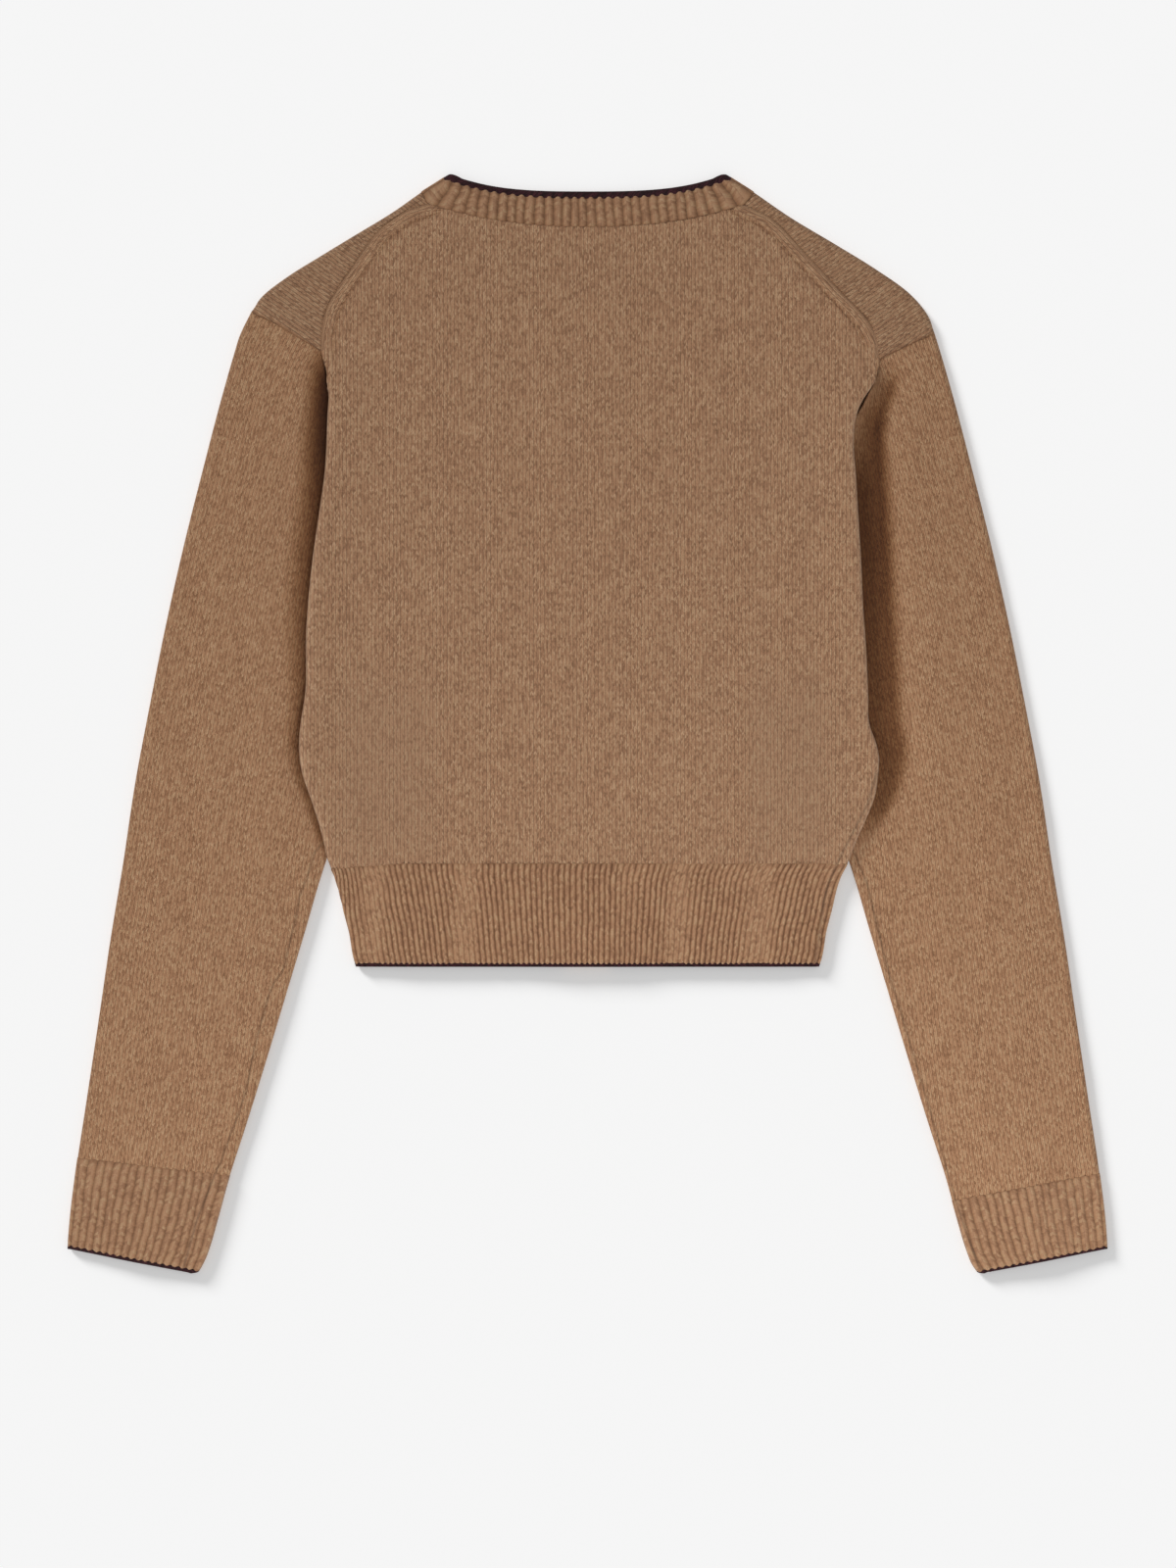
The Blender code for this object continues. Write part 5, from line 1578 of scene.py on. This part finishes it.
def make_hems():
    levels = [lambda x: rib_top(x) - 0.45]
    levels += [lambda x, y=y: float(y) for y in range(-92, -141, -6)]
    levels += [lambda x: HEM_Y + HEM_TIP + SEAM]
    grid = Grid([hem_row(level) for level in levels], *HEM_GRID, sewn=(True, False), inner=6)
    left = grid.column(TOP_STATION)
    right = grid.column(TOP_STATION + HEM_STATIONS)
    span = grid.across[:, right : right + 1] - grid.across[:, left : left + 1]
    phase = (grid.across - grid.across[:, left : left + 1]) / span * HEM_RIBS
    x, y = grid.plan()
    crowded, reach = HEM_FAN
    phase = phase - crowded * np.exp(-(x + SIDE_X) / reach) * soft((y - HEM_Y) / HEM_FAN_HEIGHT) ** 2
    phase = ribbed(grid, phase, RIB_HEIGHT + RIB_PROUD, 11, 0.35, FLATTER_RIBS)
    grid.uv = np.stack([phase, y / RIB_COURSE], axis=2)
    grid.raise_by(grid.up() * 0.5 * swell(x, y, 1))
    grid.sew((0, 0), dark=0.25)
    end_ribs(grid, phase)
    grid.lines["side_seam"] = signed_distance(x, y, SIDE_SEAM)
    cloth("knit_hem_back", "hem_back", grid, KNIT["hem"], "knit", ["hem_front_left", "hem_front_right"])
    for side in ("left", "right"):
        rows = []
        for level in levels:
            end_y = level(sign_of(side) * SIDE_X)
            end = turned_seam(side, end_y) - SEAM
            rows.append(front_row(side, (BAND_HALF + SEAM, level(0.0)), (end, end_y), 1.0))
        grid = Grid(rows, *FRONT_HEM_GRID, sewn=(True, False), inner=6)
        phase = ribbed(grid, grid.across / HIDDEN_RIB, RIB_HEIGHT, 17)
        grid.uv = np.stack([phase, grid.outer[:, :, 1] / RIB_COURSE], axis=2)
        grid.sew((0, 0))
        grid.reach(0, 1, 0.3)
        cloth("knit_hem_front_" + side, "hem_front_" + side, grid, KNIT["rib"], "knit", ["floor"])


def make_hem_tip():
    rows = []
    for y in (HEM_Y + HEM_TIP, HEM_Y + HEM_TIP * 0.5, HEM_Y):
        under = {}
        for side in ("left", "right"):
            end = turned_seam(side, y)
            distances = front_distances(end - BAND_HALF - SEAM, 1.0)
            under[side] = [under_skin(side, (end - off, y)) for off in distances[:-1]]
        rows.append(under["left"] + hem_row(lambda x, y=y: y, TIP_PROUD) + under["right"][::-1])
    grid = tip_grid(rows)
    x, y = grid.plan()
    grid.uv[:, :, 1] = y / TIP_COURSE
    round_tip(grid, 0.5 * swell(x, y, 1))
    cloth("tipping_hem_knit", "tipping_hem", grid, KNIT["tipping"], "tipping", ["floor"])


def make_cuffs():
    for side in ("left", "right"):
        gap = SEAM / (CUFF_TOP[side][0] - CUFF_BOTTOM[0])
        rows = rings_at(side, np.linspace(gap, 1.0 - CUFF_TIP - gap, 9), CUFF_STATIONS)
        grid = Grid(rows, *CUFF_GRID, closed=True, sewn=(True, False), inner=5)
        right = grid.column(CUFF_STATIONS)
        span = grid.across[:, right : right + 1]
        ribs_round = CUFF_RIBS * 2 + 2
        total = grid.across[:, -1:] / span * CUFF_RIBS
        phase = grid.across / span * CUFF_RIBS * (ribs_round / total)
        phase = ribbed(grid, phase[:, :-1], RIB_HEIGHT, 23, 0.3)
        closing = np.concatenate([phase, phase[:, :1] + ribs_round], axis=1)
        grid.uv = np.stack([closing, grid.ringed(grid.outer)[:, :, 1] / RIB_COURSE], axis=2)
        x, y = grid.plan()
        grid.raise_by(grid.up() * 0.5 * swell(x, y, 5))
        grid.sew((0, 0), dark=0.3)
        end_ribs(grid, phase)
        seen = grid.normals[:, :, 2] > SEEN_ABOVE
        grid.lines["sleeve_seam"] = np.where(seen, signed_distance(x, y, SLEEVE_SEAM[side]), FAR)
        cloth("knit_cuff_" + side, "cuff_" + side, grid, KNIT["cuff"], "knit", ["floor"])
        shares = np.linspace(1.0 - CUFF_TIP, 1.0, 3)
        tip = tip_grid(rings_at(side, shares, CUFF_TIP_STATIONS, TIP_PROUD), closed=True)
        round_tip(tip, 0.5 * swell(*tip.plan(), 5))
        cloth("tipping_knit_cuff_" + side, "tipping_cuff_" + side, tip, KNIT["tipping"], "tipping", ["floor"])


def rings_at(side, shares, stations, extra=0.0):
    """Rings of the cuff at shares of its length, with its inner lower corner rounded off."""
    rings = []
    for share in shares:
        heights = [top + (low - top) * share for top, low in zip(CUFF_TOP[side], CUFF_BOTTOM)]
        places, outer_normal, normal = tube_row(side, *heights, stations)
        past = max(CUFF_CORNER - (1.0 - share) * (CUFF_TOP[side][1] - CUFF_BOTTOM[1]), 0.0)
        inset = CUFF_CORNER - math.sqrt(CUFF_CORNER**2 - past**2)
        toward = (places[0] - places[-1]) / np.linalg.norm(places[0] - places[-1])
        places = [place + toward * inset * (k / stations) ** 8 for k, place in enumerate(places)]
        rings.append(tube_ring(side, places, outer_normal, normal, extra))
    return rings


def make_neck():
    lead = NECK_FRONT_STATIONS + 4
    shares = np.linspace(NECK_GAP, 1.0 - NECK_TIP - 1.7 * NECK_GAP, 7)
    grid = Grid([neck_row(share) for share in shares], *NECK_GRID, sewn=(True, False), inner=5)
    # The ribs stand straight up from the seam and lean in only close to the folds at the shoulders
    x = grid.outer[:, :, 0].copy()
    at_edge = np.linspace(-NECK_EDGE_HALF, NECK_EDGE_HALF, 300)
    spread = np.sign(at_edge) * NECK_LEAN * np.exp((np.abs(at_edge) - NECK_EDGE_HALF) / NECK_LEAN_REACH)
    phase = np.empty_like(x)
    for row, share in enumerate(np.interp(grid.row_places, range(len(shares)), shares)):
        phase[row] = np.interp(x[row], at_edge + (1.0 - share) * spread, at_edge) / NECK_PITCH
    carry_round(phase, grid.across, grid.column(lead), grid.column(lead + NECK_STATIONS), NECK_PITCH)
    phase = ribbed(grid, phase, RIB_HEIGHT + RIB_PROUD, 31, 0.1, sharp=1.1)
    grid.uv = np.stack([phase, grid.down / RIB_COURSE], axis=2)
    grid.sew((0, 0), dark=0.5)
    grid.reach(0, 1, NECK_RIB_END * (ridges(phase[-1]) - 1.0))
    grid.reach(0, 0, NECK_FOLD_REACH[0] * bell(np.abs(x[0]) - NECK_FOLD_X, NECK_FOLD_REACH[1]))
    grid.tuck(grid.near_end(1), *NECK_END_TUCK)
    cloth("knit_neckband", "neckband", grid, KNIT["rib"], "knit", ["front_left", "front_right"])
    tip = tip_grid([neck_row(share, TIP_PROUD) for share in np.linspace(1.0 - NECK_TIP, 1.0, 3)])
    tip.reach(0, 0, *NECK_TIP_REACH)
    # The edge runs round the peak beside each shoulder in one bend
    x, y = tip.plan()
    from_peak = np.maximum(NECK_EDGE_HALF - np.abs(x[-1]), 0.0)
    bend = NECK_PEAK[1] - PEAK_BEND[0] * from_peak - PEAK_BEND[1] * from_peak**2
    from_middle = np.abs(tip.column_places - lead - NECK_STATIONS / 2)
    near_peak = (from_middle < NECK_STATIONS / 2 + PEAK_COLUMNS) & (from_peak < PEAK_REACH)
    lift = np.where(near_peak, np.maximum(bend - y[-1], 0.0), 0.0)
    tip.outer[:, :, 1] += lift * np.clip(tip.down / tip.down[-1:], 0.0, 1.0)
    round_tip(tip)
    cloth("tipping_knit_neck", "tipping_neck", tip, KNIT["tipping"], "tipping", ["floor"])


def make_bands():
    buttons = ["button_%d" % (number + 1) for number in range(BUTTON_COUNT)]
    for name, low, rests_on in (
        ("buttonhole_band", BUTTONHOLE_BAND_LOW, buttons),
        ("button_band", BUTTON_BAND_LOW, ["buttonhole_band"]),
    ):
        across = np.linspace(-BAND_HALF, BAND_HALF, 8)
        heights = np.linspace(HEM_Y, FRONT_NECK_EDGE[-1][1], 40)
        rows = [[skin(x, y, low, low + 2 * CLOTH, -90.0) for x in across] for y in heights]
        grid = Grid(rows, *BAND_GRID, sewn=(False, False), inner=4)
        grid.normals = np.zeros_like(grid.outer) + (0.0, 0.0, -1.0)
        phase = grid.across / BAND_RIB + 0.5
        grid.raise_by(-BAND_RIB_DEPTH * (1.0 - ridges(phase)))
        grid.lines["faded"] = np.zeros_like(phase)
        grid.uv = np.stack([phase, grid.outer[:, :, 1] / RIB_COURSE], axis=2)
        cloth(name + "_knit", name, grid, KNIT["rib"], "knit", rests_on)


# Face down, from the middle of the face round the rim to the middle of the back: radius, height
BUTTON_PROFILE = [
    (0.0, 0.55), (1.6, 0.55), (2.9, 0.5), (3.4, 0.4), (3.7, 0.2), (4.0, 0.05), (4.5, 0.0), (5.1, 0.05),
    (5.5, 0.28), (5.72, 0.7), (5.75, 1.1), (5.65, 1.5), (5.3, 1.85), (4.6, 2.0), (0.0, 2.0),
]
BUTTON_SIDES = 48
HOLE_RADIUS = 0.62
HOLE_OFF = 1.25  # from the button's middle to a hole, each way
THREAD_RADIUS = 0.3
THREAD_LENGTH = 3.5
THREAD_MIDDLE = 0.72  # height of its ends
THREAD_BOW = 0.42
DIAGONAL = 0.7071


def rods(mesh, places, radius, length, segments):
    """Adds upright rods at plan points to a mesh and hands back the points of each."""
    for x, y, z in places:
        made = bmesh.ops.create_cone(
            mesh, cap_ends=True, segments=segments, radius1=radius, radius2=radius, depth=length
        )["verts"]
        bmesh.ops.translate(mesh, verts=made, vec=(x, y, z))
        yield made


def make_buttons(material):
    """Face down: a rim round a dished face with four holes, and the thread that holds each button."""
    for number, at in enumerate(np.linspace(BUTTON_FIRST_Y, BUTTON_LAST_Y, BUTTON_COUNT)):
        shift = (0.0, (float(at) - MIDDLE_Y) * MM, 0.0)
        mesh = bmesh.new()
        rings = []
        for radius, z in BUTTON_PROFILE:
            turns = [2 * math.pi * k / BUTTON_SIDES for k in range(BUTTON_SIDES if radius else 1)]
            rings.append([mesh.verts.new((radius * math.cos(a), radius * math.sin(a), z)) for a in turns])
        for ring, after in zip(rings, rings[1:]):
            for k in range(BUTTON_SIDES):
                quad = [ring[k % len(ring)], ring[(k + 1) % len(ring)]]
                quad += [after[(k + 1) % len(after)], after[k % len(after)]]
                mesh.faces.new(list(dict.fromkeys(quad)))
        bmesh.ops.recalc_face_normals(mesh, faces=mesh.faces)
        piece = placed("button_shell_%d" % (number + 1), from_bmesh("button_shell_%d" % (number + 1), mesh))
        holes = bmesh.new()
        corners = [(x * HOLE_OFF, y * HOLE_OFF, 1.0) for x, y in ((-1, -1), (1, -1), (1, 1), (-1, 1))]
        list(rods(holes, corners, HOLE_RADIUS, 5.0, 16))
        cutter = placed("holes", from_bmesh("holes", holes))
        cutting = piece.modifiers.new("holes", "BOOLEAN")
        cutting.object = cutter
        cutting.solver = "EXACT"
        cut = bpy.data.meshes.new_from_object(piece.evaluated_get(bpy.context.evaluated_depsgraph_get()))
        piece.modifiers.clear()
        piece.data = cut
        bpy.data.objects.remove(cutter, do_unlink=True)
        coords = np.array([v.co for v in cut.vertices]) * MM + shift
        cut.vertices.foreach_set("co", coords.astype(np.float32).ravel())
        cut.shade_smooth()
        cut.set_sharp_from_angle(angle=math.radians(40.0))
        cut.materials.clear()
        cut.materials.append(material)
        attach(piece, "root")
        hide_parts("button_%d" % (number + 1))
        thread = bmesh.new()
        for turn, made in zip((-1, 1), rods(thread, [(0.0, 0.0, 0.0)] * 2, THREAD_RADIUS, THREAD_LENGTH, 8)):
            for vert in made:  # each rod is laid across two of the holes and bows into both
                side, down, along = vert.co
                bow = THREAD_BOW * math.cos(along / THREAD_LENGTH * math.pi)
                vert.co = (
                    DIAGONAL * (turn * along + side), DIAGONAL * (turn * side - along), THREAD_MIDDLE - bow + down
                )
        bmesh.ops.scale(thread, verts=thread.verts, vec=(MM, MM, MM))
        bmesh.ops.translate(thread, verts=thread.verts, vec=shift)
        data = from_bmesh("thread_%d" % (number + 1), thread)
        data.materials.append(KNIT["thread"])
        sewn = placed("thread_%d" % (number + 1), data)
        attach(sewn, "root")


# ---------------------------------------------------------------- camera, floor and light

# In metres, degrees and Blender's own units of light
FRAME_HEIGHT = 0.96  # what the photograph's height shows
MIDDLE = (0.0003, -0.0364)  # what lies at the middle of the photograph
LENS = 85.0
SENSOR = 36.0
CAMERA_OFF = 0.006  # above the surface, the level that has the size in the photograph
FLOOR_Z = -0.0001
FLOOR_COLOR = (0.90, 0.90, 0.90, 1.0)
FLOOR_GLOW = 0.319
WHITE = (1.0, 1.0, 1.0, 1.0)
WORLD_LIGHT = 0.34
PANEL_POWER = 13.6
PANEL_SIZE = 0.7
PANEL_PLACE = (0.26, -1.2, 0.95)
PANEL_TURN = (46.0, 0.0, 10.0)
# name, strength, width of its disc, degrees from straight down, where it comes from, what it lights
SUNS = [
    ("key", 1.61, 14.0, 66.0, -115.0, "garment"),
    ("fill", 0.42, 30.0, 50.0, 95.0, "garment"),
    ("shadow", 3.0, 16.0, 70.0, -135.0, "floor"),
]


def make_stage():
    """The camera straight above, the floor, and a white room round them; hands back the floor."""
    data = bpy.data.cameras.new("camera")
    data.lens = LENS
    data.sensor_width = SENSOR
    data.clip_end = 20.0
    camera = placed("camera", data)
    camera.location = (*MIDDLE, CAMERA_OFF + FRAME_HEIGHT * LENS / SENSOR)
    bpy.context.scene.camera = camera
    bpy.ops.mesh.primitive_plane_add(size=6.0, location=(0.0, 0.0, FLOOR_Z))
    floor = bpy.context.object
    floor.name = "floor"
    nodes = Nodes("floor")
    nodes.level({"Base Color": FLOOR_COLOR, "Roughness": 0.9, "Specular IOR Level": 0.0})
    nodes.level({"Emission Color": WHITE, "Emission Strength": FLOOR_GLOW})
    floor.data.materials.append(nodes.material)
    floor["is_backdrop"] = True
    world = bpy.data.worlds.new("studio")
    world.use_nodes = True
    background = world.node_tree.nodes["Background"]
    background.inputs["Color"].default_value = WHITE
    background.inputs["Strength"].default_value = WORLD_LIGHT
    bpy.context.scene.world = world
    bpy.context.scene.view_settings.view_transform = "Standard"
    return floor


def make_lights(floor):
    """The soft ambient light is the same for all; each lamp lights the garment or the floor alone."""
    lit = {"garment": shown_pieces(), "floor": [floor]}
    for name, members in lit.items():
        lit[name] = bpy.data.collections.new("lit_" + name)
        for item in members:
            lit[name].objects.link(item)
    for name, strength, angle, tilt, turn, target in SUNS:
        sun = bpy.data.lights.new(name, "SUN")
        sun.energy = strength
        sun.angle = math.radians(angle)
        lamp = placed(name, sun)
        lamp.rotation_euler = (math.radians(tilt), 0.0, math.radians(turn))
        lamp.light_linking.receiver_collection = lit[target]
    panel = bpy.data.lights.new("panel", "AREA")
    panel.energy = PANEL_POWER
    panel.size = PANEL_SIZE
    lamp = placed("panel", panel)
    lamp.location = PANEL_PLACE
    lamp.rotation_euler = [math.radians(turn) for turn in PANEL_TURN]
    lamp.light_linking.receiver_collection = lit["garment"]


SIDE_LINE = [("side_seam", 1.1, 0.3)]  # a sewn line: its name, half width and the darkness of the painted shade in its groove
SLEEVE_LINE = [("sleeve_seam", 1.0, 0.3)]
SLEEVE_LOOK = {"contrast": 0.82, "gaps": 0.55, "tone_and_shade": 1.07, "sheen": 0.12, "gloss": 0.14}
KNIT = {
    "back": knitted("knit_back", HEATHER, SIDE_LINE, contrast=0.9, gaps=0.62, tone_and_shade=1.02),
    # The fronts' wraps over the shoulders are drawn darker than the back: painted shade
    "plain": knitted("knit_plain", HEATHER, contrast=0.9, gaps=0.8, tone_and_shade=0.92),
    "sleeve": knitted("knit_sleeve", HEATHER, SLEEVE_LINE, **SLEEVE_LOOK),
    "rib": knitted("knit_rib", HEATHER, contrast=0.7, rib=0.3, tone_and_shade=0.93),
    "hem": knitted("knit_hem", HEATHER, SIDE_LINE, contrast=0.75, rib=0.42, tone_and_shade=1.04),
    "cuff": knitted("knit_cuff", HEATHER, SLEEVE_LINE, contrast=0.7, rib=0.24, tone_and_shade=0.96),
    "tipping": knitted("knit_tipping", WINE, sheen=0.05),
    "thread": knitted("thread", WINE, sheen=0.05),
}

ground = make_stage()
make_back()
make_fronts()
make_sleeves()
make_hems()
make_hem_tip()
make_cuffs()
make_neck()
make_bands()
make_buttons(horn_material())
make_lights(ground)
